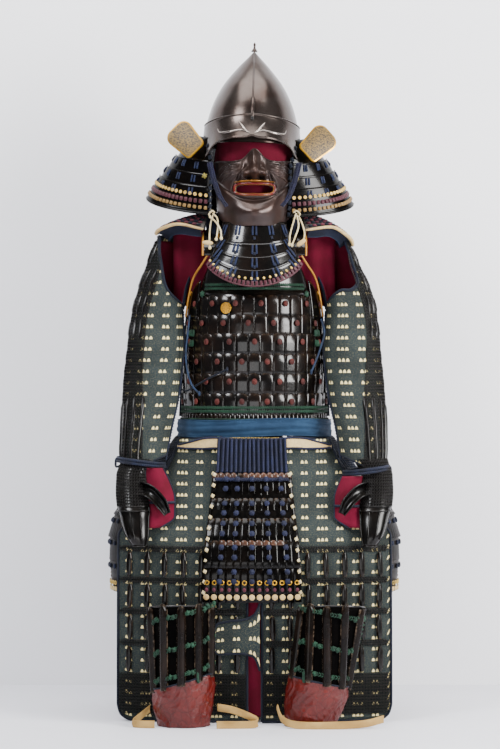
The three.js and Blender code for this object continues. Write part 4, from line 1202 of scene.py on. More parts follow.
def mask():
    shape = panel(lambda u, v: on_mask(mix(-MASK_REACH, MASK_REACH, u), 1 - v), 108, 92,
                  inside=Vector((0, -44, 1235)))
    gone = []
    for face in shape.faces:
        spot = face.calc_center_median()
        wide, tall = abs(spot.x) / MOUTH["half_width"], abs(spot.z - MOUTH["z"]) / MOUTH["half_height"]
        if wide**3.2 + tall**2.6 < 1 and spot.y < -60:
            gone.append(face)
    bmesh.ops.delete(shape, geom=gone, context="FACES")
    piece("mask_face", shape, MASK_IRON, ["mask"], thick=2.4)
    lip = [mask_place(angle, z, 1.6) for angle, z in mouth_line(44, 3.2)]
    tubes("red_lips", [lip + lip[:1]], 2.5, RED_LIP, spacing=3.0)
    under_lip = [p + Vector((0, -1.6, -1.2)) for p in lip[23:44] + lip[:1]]
    moustache = [mask_place(angle, 1255 - 0.003 * angle**2, 2.2) for angle in steps(-30, 30, 20)]
    teeth = [mask_place(angle, z, 2.8) for angle, z in mouth_line(44, 0.4)]
    tubes("gilt_lip_lines", [under_lip, teeth + teeth[:1]], 0.7, MOUSTACHE, spacing=3.0)
    tubes("moustache_line", [moustache], 2.2, MOUSTACHE, spacing=3.0, taper=lambda t: 0.3 + wave(180 * t))
    ridges = []
    for side in (-1, 1):
        for line in MASK_RIDGES:
            ridges.append([mask_place(math.degrees(math.asin(side * x / CHEEK_RADIUS)), z, -0.4) for x, z in line])
    tubes("mask_ridges", ridges, 3.0, MASK_IRON, spacing=3.5, taper=lambda t: 0.25 + 0.85 * wave(180 * t))
    rim = [on_mask(angle, 0, 0.6) for angle in steps(-MASK_REACH, MASK_REACH, 60)]
    tubes("mask_upper_rim", [rim], 1.5, MASK_IRON, spacing=3.0)
    holes = [lay(mask_place, angle, 1292, 1.0) for angle in (-36, 36)]
    many("mask_pins", bead(5, 3, 5), holes, BLACK)
    hooks = [lay(mask_place, angle, 1216, 3.0) for angle in (-62, 62)]
    many("mask_cord_hooks", ring(5, 1.4), hooks, MASK_IRON)


def mask_cords():
    """Three twisted strands on each side that hang from the helmet and tie round the jaw."""
    route = [(106, -118, 1300), (95, -124, 1255), (80, -136, 1214), (66, -146, 1194)]
    for name, side in SIDES.items():
        strands = []
        for aside, forward, low in ((-4.5, 0, 0), (0, 3.2, -2), (4.5, 0.5, 6)):
            strands.append([Vector((side * (x + aside), y - forward, z + low * i / 3))
                            for i, (x, y, z) in enumerate(route)])
        turns = []
        for number, path in enumerate(strands):
            turns += along(path, 4.2, outward=lambda p: Vector((0, -1, 0)), turn=34, wobble=6, seed=number)
        many(f"mask_cord_strands_{name}", strand(8.5, 4.0), turns, VIOLET, [f"mask_cord_{name}"])
        knots = along([Vector((side * x, y - 4, z)) for x, y, z in route], 21, wobble=25, seed=5 + side)
        many(f"mask_cord_bindings_{name}", strand(13, 3.4), knots, VIOLET)


MOUSTACHE = gilt("dull gold lacquer", (150, 104, 46), 0.45)
VIOLET = silk("blue violet cord", (12, 14, 44), (24, 26, 66))
mask()
mask_cords()

# ------------------------------------------------------------------ throat guard
THROAT = table("z rise half_width half_depth front_y", [
    (1166, 0, 84, 70, -119), (1146, 2, 88, 72, -126), (1106, 14, 98, 77, -140), (1074, 26, 107, 80, -150),
    (1043, 38, 116, 83, -158), (1012, 50, 125, 86, -166),
])
THROAT_TOPS = [1160, 1106, 1074, 1043, 1012]
THROAT_REACH = 60


def on_throat(angle, z, out=0.0):
    row = THROAT(z)
    rise = row.rise * (1 - cowave(angle)) / (1 - cowave(THROAT_REACH))
    y = row.front_y + row.half_depth * (1 - cowave(angle))
    return Vector(((row.half_width + out) * wave(angle), y - out * cowave(angle), z + rise))


def throat_lame(top, bottom):
    """A lame that stands out at its head, its edges rolled."""
    def place(u, v):
        share = 1 - v
        roll = 1.5 * max(0.0, 1 - share / 0.07) + 1.1 * max(0.0, (share - 0.93) / 0.07)
        return on_throat(mix(-THROAT_REACH, THROAT_REACH, u), mix(top, bottom, share), mix(3.4, 1.0, share) + roll)
    return panel(place, 48, 8, inside=Vector((0, 0, (top + bottom) / 2)))


def throat_guard():
    for number, (top, bottom) in enumerate(zip(THROAT_TOPS, THROAT_TOPS[1:])):
        piece(f"throat_lame_{number + 1}", throat_lame(top, bottom - 2), BLACK,
              ["throat_guard"] if number == 0 else [], thick=2.2)
    # Five columns of dark blue lacing in pairs, with a cross stitch over each joint.
    lengths, crosses = [], []
    for angle in (-50, -25, 0, 25, 50):
        for top, bottom in zip(THROAT_TOPS, THROAT_TOPS[1:]):
            for aside in (-2.6, 2.6):
                lengths.append(lay(on_throat, angle + aside, mix(top, bottom, 0.40), 3.2))
            crosses.append(lay(on_throat, angle, mix(top, bottom, 0.76), 3.0))
    many("throat_lacing", braid(4.6, 25, 2.0), lengths, NAVY)
    many("throat_cross_knots", knot(8.5, 10, 3.6), crosses, INK)
    rims = steps(-58, 58, 17)
    many("throat_rim_beads", bead(6.5, 5.5, 7.0, 10, 8),
         [lay(on_throat, angle, 1023, 3.6) for angle in rims], PALE_GOLD)
    many("throat_maroon_hem", block(7.2, 12, 2.6),
         [lay(on_throat, mix(-59, 59, i / 25), 1012, 3.4) for i in range(26)], MAROON)
    hem = [on_throat(angle, 1006, 3.6) for angle in steps(-59, 59, 40)]
    tubes("throat_hem_cord", [hem], 2.0, MAROON)


throat_guard()

# ------------------------------------------------------------------ cuirass
CUIRASS_TOPS = [982, 936, 892, 845, 798, 751]
SCALE_PITCH = 29.4
HALF_TURN = 88.0


def scale_row(surface, angles, top, out=3.0, lean=4.0, seed=1):
    """Places for a row of scales, each a little askew, leaning out at the head."""
    chance = np.random.default_rng(seed)
    places = []
    for angle in angles:
        place = lay(surface, angle, top, out, turn=chance.uniform(-0.7, 0.7))
        places.append(place @ Matrix.Rotation(math.radians(lean), 4, "X"))
    return places


def even_angles(z, pitch, reach, middle=0.0):
    """Angles round the body at one height, pitch apart along its girth."""
    fine = steps(-reach, reach, 360)
    points = [on_body(angle, z) for angle in fine]
    lengths = np.concatenate([[0], np.cumsum([(b - a).length for a, b in zip(points, points[1:])])])
    count = int(lengths[-1] // pitch)
    stops = lengths[-1] / 2 + (np.arange(count) - (count - 1) / 2) * pitch
    return [float(angle) + middle for angle in np.interp(stops, lengths, fine)]


def cuirass_half(name, middle, knot_share):
    """The front or back half: a lacquered shell, six rows of scales and their knots."""
    shell = panel(lambda u, v: on_body(middle + mix(-HALF_TURN, HALF_TURN, u), mix(690, 1000, v), -0.4), 56, 16)
    piece(f"cuirass_shell_{name}", shell, BLACK, [f"cuirass_{name}"], thick=2.2)
    scales, knots = [], []
    for row, top in enumerate(CUIRASS_TOPS):
        angles = even_angles(top - 23, SCALE_PITCH, HALF_TURN - 1, middle)
        scales += scale_row(on_body, angles, top, seed=row)
        for i, angle in enumerate(angles):
            if (i - len(angles) // 2 + row + knot_share) % 2 == 0:
                knots.append(lay(on_body, angle, top - 15, 6.4))
    many(f"cuirass_scales_{name}", scale_plate(SCALE_PITCH - 0.5, 52, 2.4, hook=6.5, bulge=0.6, across=6), scales,
         SCALE_LACQUER, sharp=50)
    many(f"cuirass_knots_{name}", joined(bead(13.5, 5, 15, 8, 6), knot(13, 15, 6)), knots, RUST)


CORD_TWIST = 52


def bands_round(name, middle, heights, reach, out, radius, spacing):
    """Twisted green cords round the body."""
    places = []
    for number, z in enumerate(heights):
        path = [on_body(middle + angle, z, out) for angle in steps(-reach, reach, 40)]
        turn = -CORD_TWIST if number % 2 else CORD_TWIST
        places += along(path, spacing, turn=turn, wobble=9, seed=int(z))
    many(name, strand(radius * 2.7, radius * 0.95), places, GREEN)


def cuirass():
    cuirass_half("front", 0, 0)
    cuirass_half("back", 180, 1)
    for name, middle in (("front", 0), ("back", 180)):
        bands_round(f"hem_braid_{name}", middle, (722, 713), HALF_TURN, 5.0, 4.2, 5.4)
        bands_round(f"hem_line_{name}", middle, (695,), HALF_TURN, 4.6, 2.2, 3.2)
        teeth = even_angles(705, 11.0, HALF_TURN - 1, middle)
        many(f"hem_scales_{name}", scale_plate(10.2, 20, 2.0, hook=3.5, across=3, down=2),
             scale_row(on_body, teeth, 705, out=2.4, lean=2), SCALE_LACQUER, sharp=50)
    bands_round("chest_braid", 0, (1012, 1003), 52, 4.0, 4.2, 5.4)
    # Laced joints of the two halves under the arms.
    joints = [lay(on_body, side * 88.5, z, 4.5) for side in (-1, 1) for z in steps(720, 960, 12)]
    many("side_lacing", braid(7, 16, 2.0), joints, GREEN_BRAID)
    bundles = []
    for side in (-1, 1):
        for z in (898, 874):
            bundles += [lay(on_body, side * (60 + i * 2.1), z, 6.0) for i in range(4)]
    many("green_bundles", bead(5.2, 6.5, 17, 8, 6), bundles, GREEN)
    corners = [lay(on_body, side * 52, 990, 7, turn=side * 30) for side in (-1, 1)]
    many("green_corner_knots", joined(knot(15, 17, 9), strand(20, 6)), corners, GREEN)


def side_boards():
    """Lacquered boards that close the cuirass under the arms, with a corded edge."""
    for name, side in SIDES.items():
        def place(u, v, side=side):
            top = 946 - 10 * (2 * u - 1) ** 2
            return on_body(side * mix(82, 112, u), mix(700, top, v), 7.5 + 1.5 * wave(180 * u))
        piece(f"side_board_{name}", panel(place, 12, 26), BLACK, thick=2.4)
        rim = [place(0, v) for v in steps(0, 1, 12)] + [place(u, 1) for u in steps(0.1, 0.9, 8)]
        rim += [place(1, v) for v in steps(1, 0, 12)]
        tubes(f"side_board_rim_{name}", [rim], 1.9, INK)


def chest_and_back_plates():
    def chest(u, v):
        z = mix(1001, 1084, v)
        return on_body(mix(-1, 1, u) * mix(62, 49, v), z, 1.6 * max(0.0, (v - 0.94) / 0.06))

    def back(u, v):
        return on_body(180 + mix(-1, 1, u) * mix(80, 62, v), mix(1001, 1083, v), 0.4)

    front_shape = panel(chest, 40, 14)
    piece("chest_plate_lacquer", front_shape, BLACK, ["chest_plate"], thick=2.4)
    piece("back_plate_lacquer", panel(back, 44, 14), BLACK, thick=2.4)
    edges = []
    for side in (-1, 1):
        line = [(51, 1096), (59, 1064), (72, 1030), (77, 985), (80, 938)]
        edges.append([on_body(side * angle, z, 9.5) for angle, z in line])
        edges.append([on_body(180 + side * mix(80, 62, v), mix(1003, 1086, v), 2.2) for v in steps(0, 1, 10)])
    edges.append([on_body(angle, 1086, 2.2) for angle in steps(-49, 49, 20)])
    edges.append([on_body(180 + angle, 1086, 2.2) for angle in steps(-62, 62, 20)])
    tubes("amber_piping", edges, 2.5, AMBER)
    lugs = [lay(on_body, angle, 1052, 2.0) for angle in (-30, 30)]
    many("chest_rings", ring(7, 1.6), lugs, GOLD)


def armhole_guards():
    """Lacquered plates that rise along the armholes, edged with amber leather."""
    def top_edge(angle):
        return mix(1024, 962, ((angle - 58) / 29) ** 1.3)

    for name, side in SIDES.items():
        def place(u, v, side=side):
            angle = mix(58, 87, u)
            return on_body(side * angle, mix(932, top_edge(angle), v), 6.2)
        piece(f"armhole_guard_lacquer_{name}", panel(place, 14, 12), BLACK, [f"armhole_guard_{name}"],
              thick=2.6)
        rim = [on_body(side * angle, top_edge(angle) + 2, 7.2) for angle in steps(74, 87, 6)]
        tubes(f"armhole_guard_piping_{name}", [rim], 2.0, AMBER, spacing=4.0)


def rosette():
    """A gilt boss of two rows of petals round a button."""
    place = lay(on_body, -24.5, 956, 8.0)
    petals = []
    for radius, count, size in ((8.6, 12, 1.0), (4.6, 8, 0.75)):
        for turn in steps(0, 360, count)[:-1]:
            petals.append(place @ Matrix.Rotation(math.radians(turn), 4, "Y")
                          @ Matrix.Translation((0, -1.6 if count == 8 else 0, radius))
                          @ Matrix.Diagonal((size, size, size, 1)))
    petals += [place @ Matrix.Diagonal((1.25, 1.8, 0.75, 1))]
    plate = [place]
    many("rosette_petals", bead(3.6, 4.4, 7.4, 8, 6), petals, GOLD)
    many("rosette_plate", disc(12.0, 1.2, around=24), plate, BROWN)
    many("rosette_rim", ring(12.4, 1.1, 28, 6), plate, GOLD)


def shoulder_straps():
    def place(side):
        def at(u, v):
            turn = mix(-96, 96, v)
            x = side * mix(84, 122, u)
            puff = 3.5 + 1.6 * wave(180 * u)
            return Vector((x, (99 + puff) * wave(turn) * 1.006, 1086 + (50 + puff) * cowave(turn)))
        return at
    for name, side in SIDES.items():
        surface = place(side)
        strap = panel(surface, 10, 40, inside=Vector((side * 103, 0, 1070)))
        piece(f"strap_leather_{name}", strap, BLACK, [f"shoulder_strap_{name}"], thick=4.0)
        edges = [[surface(u, v) for v in steps(0, 1, 36)] for u in (0.0, 1.0)]
        tubes(f"strap_piping_{name}", edges, 2.4, AMBER)


GREEN_BRAID = lacing("green braid", (28, 66, 48), (42, 86, 64))
cuirass()
side_boards()
chest_and_back_plates()
armhole_guards()
rosette()
shoulder_straps()

# ------------------------------------------------------------------ sash and belt
SASH_TOP, SASH_BOTTOM = 694, 653


def on_sash(angle, v, out=0.0):
    """v from the lower edge to the upper one; the cloth bellies and its edges wander a little."""
    z = mix(SASH_BOTTOM, SASH_TOP, v) + 2.2 * wave(angle * 2 + 40) + 1.2 * wave(angle * 4)
    crease = 3.0 * math.exp(-(((v - 0.34 - 0.12 * wave(angle)) / 0.07) ** 2))
    crease += 2.4 * math.exp(-(((v - 0.68 - 0.08 * wave(angle * 2 + 60)) / 0.06) ** 2))
    for turns, lean, deep in ((9, 200, 0.9), (13, -260, 0.8), (5, 420, 1.1)):
        crease += deep * (1 - abs(wave(angle * turns + lean * v))) ** 4
    belly = 3.2 * wave(180 * v)
    return on_body(angle, z, 9.5 + belly - crease + out)


def sash():
    girth = 1.02
    shape = panel(lambda u, v: on_sash(360 * u + 180, v), 150, 14, closed=True,
                  chart=lambda u, v: (u * girth, v * 0.042))
    wound = piece("sash_cloth", shape, SASH, ["sash"], thick=3.0)
    edges = [[on_sash(angle, v, 0.3) for angle in steps(0, 360, 90)] for v in (0.02, 0.98)]
    tubes("sash_hems", edges, 1.6, SASH)
    # The gold line that is sewn along the top of the front tasset, with its green knot.
    line = [on_body(angle, 650, 12.0) for angle in steps(-33, 33, 24)]
    many("gold_line", strand(7.5, 3.6), along(line, 3.4, turn=38), PALE_GOLD)
    many("gold_line_knot", joined(knot(15, 9, 8), strand(22, 5)), [lay(on_body, -27, 651, 14)],
         GREEN)


def navy_belt():
    """The folded navy belt under the sash, which falls a little at each side."""
    for name, side in SIDES.items():
        def place(u, v, side=side):
            angle = mix(24, 118, u)
            fall = 30 * wave(180 * u) ** 1.4
            top = 656 - 0.25 * fall
            z = mix(top - 15 - 0.9 * fall, top, v)
            fold = 2.0 * wave(540 * v + 2 * angle)
            return on_body(side * angle, z, 13.5 + 0.12 * fall + fold)
        belt = piece(f"navy_belt_{name}", panel(place, 40, 14, chart=lambda u, v: (u * 0.28, v * 0.04)), NAVY_CLOTH,
                     thick=1.6)


NAVY_CLOTH = cloth("navy cloth", (17, 23, 40), (28, 36, 58), pitch=0.0014)
sash()
navy_belt()


# ------------------------------------------------------------------ yoke and shoulder wings
def yoke():
    def place(u, v):
        angle = mix(38, 322, u)
        share = 1 - v
        depth = mix(74, 92, share) if cowave(angle) > 0 else mix(60, 64, share)
        ripple = 2.2 * wave(angle * 6) * share
        return Vector((mix(93, 116, share) * wave(angle), -depth * cowave(angle) * (1 + ripple / 100),
                       1121 - 44 * share**2.2 + ripple))
    shape = panel(place, 96, 12, inside=Vector((0, 0, 1060)))
    cloth_piece = piece("yoke_cloth", shape, CRIMSON, ["yoke"], thick=1.4)


WING_RIM = table("turn left right", [(0, 1139, 1112), (30, 1150, 1134), (55, 1158, 1151), (84, 1145, 1143)])


def collar():
    """The padded standing collar, open at the throat."""
    def place(u, v):
        angle = mix(52, 308, u)
        roll = 3 * wave(180 * v) + 1.2 * wave(angle * 9) * wave(180 * v)
        return Vector(((mix(110, 118, v) + roll) * wave(angle), -(mix(80, 78, v) + roll) * cowave(angle) - 4,
                       mix(1110, 1186 + 5 * max(0, -cowave(angle)), v)))
    shape = panel(place, 90, 12, inside=Vector((0, 0, 1150)), chart=lambda u, v: (u * 0.45, v * 0.06))
    made = piece("collar_cloth", shape, NAVY_CLOTH, thick=4.0)
    tubes("collar_edge", [[place(u, 1.0) for u in steps(0, 1, 70)]], 2.6, DARK_PIPING)


def on_wing(name, turn, reach, out=0.0):
    """The shoulder wing's crescent: turn runs round it from front to back, reach outwards."""
    side = SIDES[name]
    x = 108 + 128 * reach * cowave(turn)
    rim = WING_RIM(abs(turn))
    z = 1183 - (1183 - getattr(rim, name)) * reach**1.8
    return Vector((side * x, 84 * reach * wave(turn), z + out))


def shoulder_wings():
    for name in SIDES:
        inner = Vector((SIDES[name] * 150, 0, 1000))
        base = panel(lambda u, v, name=name: on_wing(name, mix(-84, 84, u), mix(0.04, 1, v), -1.5), 48, 14,
                     inside=inner)
        wing = piece(f"wing_quilt_{name}", base, GREY_CLOTH, [f"shoulder_wing_{name}"], thick=3.6)
        rim = [on_wing(name, turn, 1.0, -1.0) for turn in steps(-84, 84, 40)]
        tubes(f"wing_rim_{name}", [rim], 4.6, CREAM, spacing=4.0,
              taper=lambda t: 0.5 + 0.5 * wave(180 * t) ** 0.5)
        def under(u, v, name=name):
            turn = mix(-80, 80, u)
            hang = 1 - v
            drop = Vector((0, 0, -27 * hang**1.3 - 3 * wave(u * 900) * hang))
            return on_wing(name, turn, mix(0.94, 0.76, hang), -5) + drop
        shape = panel(under, 60, 10, inside=inner, chart=lambda u, v: (u * 0.36, v * 0.04))
        lining = piece(f"wing_lining_{name}", shape, NAVY_CLOTH, thick=1.4)
        tubes(f"wing_lining_edge_{name}", [[under(u, 0) for u in steps(0, 1, 50)]], 1.8, BLUE_TIE, spacing=4.0)
        maroon, dark = [], []
        for number, reach in enumerate((0.92, 0.79, 0.66, 0.53, 0.4, 0.27)):
            count = round(34 * reach)
            for i, turn in enumerate(steps(-78, 78, count)):
                place = Matrix.Translation(on_wing(name, turn, reach, 2.2))
                spin = Matrix.Rotation(math.radians((turn - 90) * SIDES[name]), 4, "Z")
                (maroon if (number + i) % 2 else dark).append(place @ spin)
        many(f"wing_maroon_laces_{name}", bead(13, 9, 6.5), maroon, MAROON_SILK)
        many(f"wing_dark_laces_{name}", bead(13, 9, 6.0), dark, DARK_PIPING)


MAROON_SILK = silk("maroon silk", (92, 44, 60), (120, 62, 76))
yoke()
collar()
shoulder_wings()


def toggle_cords():
    """Cream cords that tie the shoulder straps, with turned toggles."""
    paths = {
        "left": [[(-98, -106, 1176), (-104, -112, 1150), (-106, -118, 1120), (-105, -122, 1098)],
                 [(-98, -104, 1180), (-88, -116, 1168), (-86, -124, 1146), (-90, -126, 1118)],
                 [(-106, -104, 1172), (-92, -120, 1160), (-80, -128, 1140), (-78, -128, 1120)]],
        "right": [[(98, -104, 1180), (92, -116, 1160), (84, -126, 1130), (82, -128, 1106)],
                  [(100, -106, 1176), (104, -114, 1150), (96, -124, 1124), (88, -128, 1104)],
                  [(104, -104, 1174), (112, -112, 1156), (118, -116, 1134), (116, -120, 1116)]],
    }
    for name, side in SIDES.items():
        routes = [[Vector(p) for p in path] for path in paths[name]]
        tubes(f"toggle_cords_{name}", routes, 2.0, CREAM_CORD, spacing=3.5)
        toggle = Matrix.Translation((side * 110, -122, 1110)) @ Matrix.Rotation(math.radians(75 - 20 * side), 4, "Y")
        many(f"toggle_{name}", bead(11, 10, 26, 12, 10), [toggle], CREAM)
        ends = [Matrix.Translation(route[-1]) for route in routes]
        many(f"toggle_cord_ends_{name}", bead(7.5, 7.5, 9), ends, CREAM_CORD)
        loops = along([Vector((side * x, y, z)) for x, y, z in
                       ((92, -98, 1180), (99, -106, 1186), (107, -104, 1178), (100, -104, 1168))], 6, turn=20)
        many(f"toggle_knot_{name}", strand(9, 4.5), loops, CREAM_CORD)


CREAM_CORD = silk("cream cord", (214, 196, 150), (236, 222, 182))
toggle_cords()

# ------------------------------------------------------------------ sleeves
SLEEVE = table("z left right y half_width half_depth", [
    (1130, 182, 168, 5, 50, 46), (1072, 193, 186, 0, 60, 52), (1010, 217, 217, -5, 57, 54),
    (943, 231, 231, -16, 60, 56), (880, 233, 231, -38, 66, 55), (806, 240, 236, -61, 67, 54),
    (735, 246, 243, -89, 64, 50), (675, 253, 250, -112, 58, 46), (615, 259, 254, -134, 53, 42),
    (550, 262, 258, -160, 45, 36),
])
ARMHOLE = table("angle left right", [
    (-90, 957, 957), (-16, 998, 998), (15, 1042, 1002), (42, 1090, 1032), (62, 1122, 1113), (100, 1130, 1130),
    (180, 1124, 1124), (225, 1096, 1096), (247.5, 1032, 1032), (270, 957, 957),
])
CUFF_Z, CUFF_SLANT = 586, 26
SLEEVE_TURN = 0.37  # metres round a sleeve


def on_sleeve(name, angle, z, out=0.0):
    """Angle 0 is the front and 90 the outer side."""
    row = SLEEVE(z)
    middle = getattr(row, name)
    x = middle + (row.half_width + out) * wave(angle)
    return Vector((SIDES[name] * x, row.y - (row.half_depth + out) * cowave(angle), z))


def sleeve_ends(name, angle):
    return getattr(ARMHOLE(angle), name), CUFF_Z - CUFF_SLANT * wave(angle)


def sleeve_creases(angle, z):
    """Soft slanting troughs at the elbow and a few along the forearm, deeper inside the bend."""
    depth = 0.0
    for start, slope, strength in ((846, 0.16, 2.6), (818, 0.11, 3.2), (792, 0.06, 2.4), (766, -0.04, 1.8),
                                   (700, 0.10, 1.5), (664, -0.08, 1.3), (905, 0.2, 1.4)):
        line = start + slope * angle
        reach = 0.35 + 0.65 * math.exp(-((((angle + 150) % 360 - 150) / 80) ** 2))
        depth += strength * reach * math.exp(-(((z - line) / 7) ** 2))
    return depth


def sleeve_place(name, out=0.0, low=0.0, high=1.0):
    def place(u, v):
        angle = mix(-90, 270, u)
        top, bottom = sleeve_ends(name, angle)
        z = mix(bottom, top, mix(low, high, v))
        return on_sleeve(name, angle, z, out - sleeve_creases(angle, z) + 0.6)
    return place


def sleeves():
    for name, side in SIDES.items():
        inside = Vector((side * 235, -60, 800))

        def chart(u, v, name=name, side=side):
            # Bells stand upright in columns, so the chart follows height and not the sleeve's slant.
            angle = mix(-90, 270, u)
            top, bottom = sleeve_ends(name, angle)
            return side * (angle - 40) / 360 * SLEEVE_TURN + BELL_COLUMN * 20, mix(bottom, top, v) * MM
        shape = panel(sleeve_place(name), 66, 68, closed=True, inside=inside, chart=chart)
        tube = piece(f"sleeve_brocade_{name}", shape, TEAL, [f"sleeve_{name}"], thick=2.0)
        inner = panel(sleeve_place(name, -4.6, low=0.45, high=0.985), 60, 34, closed=True, inside=inside,
                      chart=lambda u, v: (u * 0.34, v * 0.27))
        lining = piece(f"sleeve_lining_cloth_{name}", inner, CRIMSON, [f"sleeve_lining_{name}"], thick=1.0)
        rim = [on_sleeve(name, angle, sleeve_ends(name, angle)[0], 0.2) for angle in steps(-90, 270, 90)]
        tubes(f"armhole_piping_{name}", [rim], 2.6, DARK_PIPING, spacing=4.0)
        inner_rim = [on_sleeve(name, angle, sleeve_ends(name, angle)[0] + 3.4, -2.6) for angle in steps(-90, 270, 90)]
        tubes(f"armhole_blue_edge_{name}", [inner_rim], 2.2, INK, spacing=4.0)
        cuff = [on_sleeve(name, angle, sleeve_ends(name, angle)[1], 0.4) for angle in steps(-90, 270, 60)]
        tubes(f"cuff_piping_{name}", [cuff], 2.3, DARK_PIPING, spacing=4.0)
        # The seam on the inner side is laced with blue cord.
        seam = [on_sleeve(name, -94, z, 1.5) for z in steps(950, 600, 30)]
        laid = along(seam, 7.5, outward=lambda p, s=side: Vector((-s, -0.4, 0)), turn=55)
        many(f"seam_lacing_{name}", strand(12, 4.0), laid, INK)
        edge = [on_sleeve(name, -82, z, 1.2) for z in steps(952, 600, 30)]
        tubes(f"seam_blue_edge_{name}", [edge], 2.4, INK)


# Where the mail and splints start on a sleeve, as a turn from its front.
ARMOUR_EDGE = table("z start", [(1130, 50), (1010, 22), (888, 27), (740, 18), (611, 6), (550, 0)])
ARMOUR_BACK = 158


def armour_start(name, z):
    return ARMOUR_EDGE(z).start + (10 * min(1, max(0, (z - 760) / 150)) if name == "right" else 0)


def link():
    """One mail link: a ring of wire in few faces, because there are thousands."""
    return ring(3.5, 1.25, 6, 3)


def bars_on(surface, bars, turn, rise, foot=0.2):
    """Narrow rounded bars that follow a surface; bars are (u, low, high) and turn is their width in u."""
    made = []
    for u, low, high in bars:
        def place(s, t, u=u, low=low, high=high):
            end = abs(2 * t - 1)
            narrow = 1 - 0.5 * max(0.0, end - 0.85) / 0.15
            ridge = 1 - abs(2 * s - 1) ** 2.2
            return surface(u + (s - 0.5) * turn * narrow, mix(low, high, t), foot + rise * ridge * (1 - 0.7 * end**10))
        made.append(panel(place, 4, max(4, round(abs(high - low) / 12)), inside=surface(u, (low + high) / 2, -60)))
    return joined(*made)


def sleeve_armour():
    """Mail all down the outer side of each sleeve, with small and long lacquered bars over it."""
    for name, side in SIDES.items():
        def surface(u, z, out=0.0, name=name, side=side):
            angle = side * u
            return on_sleeve(name, angle, z, out - 0.7 * sleeve_creases(angle, z))

        links = []
        for row, z in enumerate(steps(1116, 560, 74)):
            first = armour_start(name, z)
            count = round((ARMOUR_BACK - first) / 360 * 2 * math.pi * SLEEVE(z).half_width / 7.8)
            for i, angle in enumerate(steps(first, ARMOUR_BACK, count)):
                top, bottom = sleeve_ends(name, angle)
                if bottom + 4 < z < top - 5:
                    turn = 38 if (i + row) % 2 else -38
                    links.append(stand_on(surface, side * angle, z, 2.2, du=0.4, dv=0.8, turn=turn))
        many(f"sleeve_mail_{name}", link(), links, LINK, [f"sleeve_splints_{name}"])
        small, long = [], []
        for top, bottom in ((1112, 1062), (1050, 1002), (990, 944), (932, 886)):
            first = armour_start(name, bottom)
            for angle in steps(first + 9, ARMOUR_BACK - 9, 6):
                if sleeve_ends(name, angle)[0] > top + 4:
                    small.append((side * angle, bottom, top))
        for angle in steps(14, ARMOUR_BACK - 8, 7):
            long.append((side * angle, 592, 742 + 8 * wave(angle * 3)))
        piece(f"sleeve_small_splints_{name}", bars_on(surface, small, 9.5, 4.4, 1.5), SPLINT, sharp=60)
        piece(f"sleeve_long_splints_{name}", bars_on(surface, long, 9.0, 5.0, 1.5), SPLINT, sharp=60)
        edge = [surface(side * (armour_start(name, z) - 2), z, 1.6) for z in steps(1090, 566, 50)]
        places = along(edge, 5.5, outward=lambda p, s=side: Vector((s * 0.6, -1, 0)), turn=40)
        many(f"sleeve_mail_edge_{name}", strand(8, 2.8), places, LINK)


def gussets():
    """The crimson cloth that joins each sleeve to its shoulder strap behind the armhole."""
    for name, side in SIDES.items():
        def place(u, v, side=side):
            top, bottom = mix(1150, 1138, u), mix(1000, 948, u)
            fold = 6 * wave(u * 330 + v * 60) + 3 * wave(u * 700)
            return Vector((side * mix(100, 196, u), 20 - 22 * (1 - u) * v + fold, mix(bottom, top, v)))
        shape = panel(place, 30, 34, inside=Vector((side * 150, 200, 1050)))
        hung = piece(f"armhole_gusset_{name}", shape, CRIMSON, thick=1.4)


sleeves()
sleeve_armour()
gussets()

# ------------------------------------------------------------------ hands
HAND = table("z x y half_width", [
    (604, 268, -152, 40), (586, 276, -162, 37), (566, 284, -172, 35), (520, 282, -197, 37),
    (470, 276, -222, 34), (430, 270, -242, 26), (405, 264, -251, 15),
])
PALM = table("z x y half_width", [
    (588, 235, -194, 19), (555, 226, -202, 27), (510, 218, -214, 33), (470, 218, -228, 33), (446, 234, -238, 16),
])
TIE_Z = {"left": 593, "right": 574}


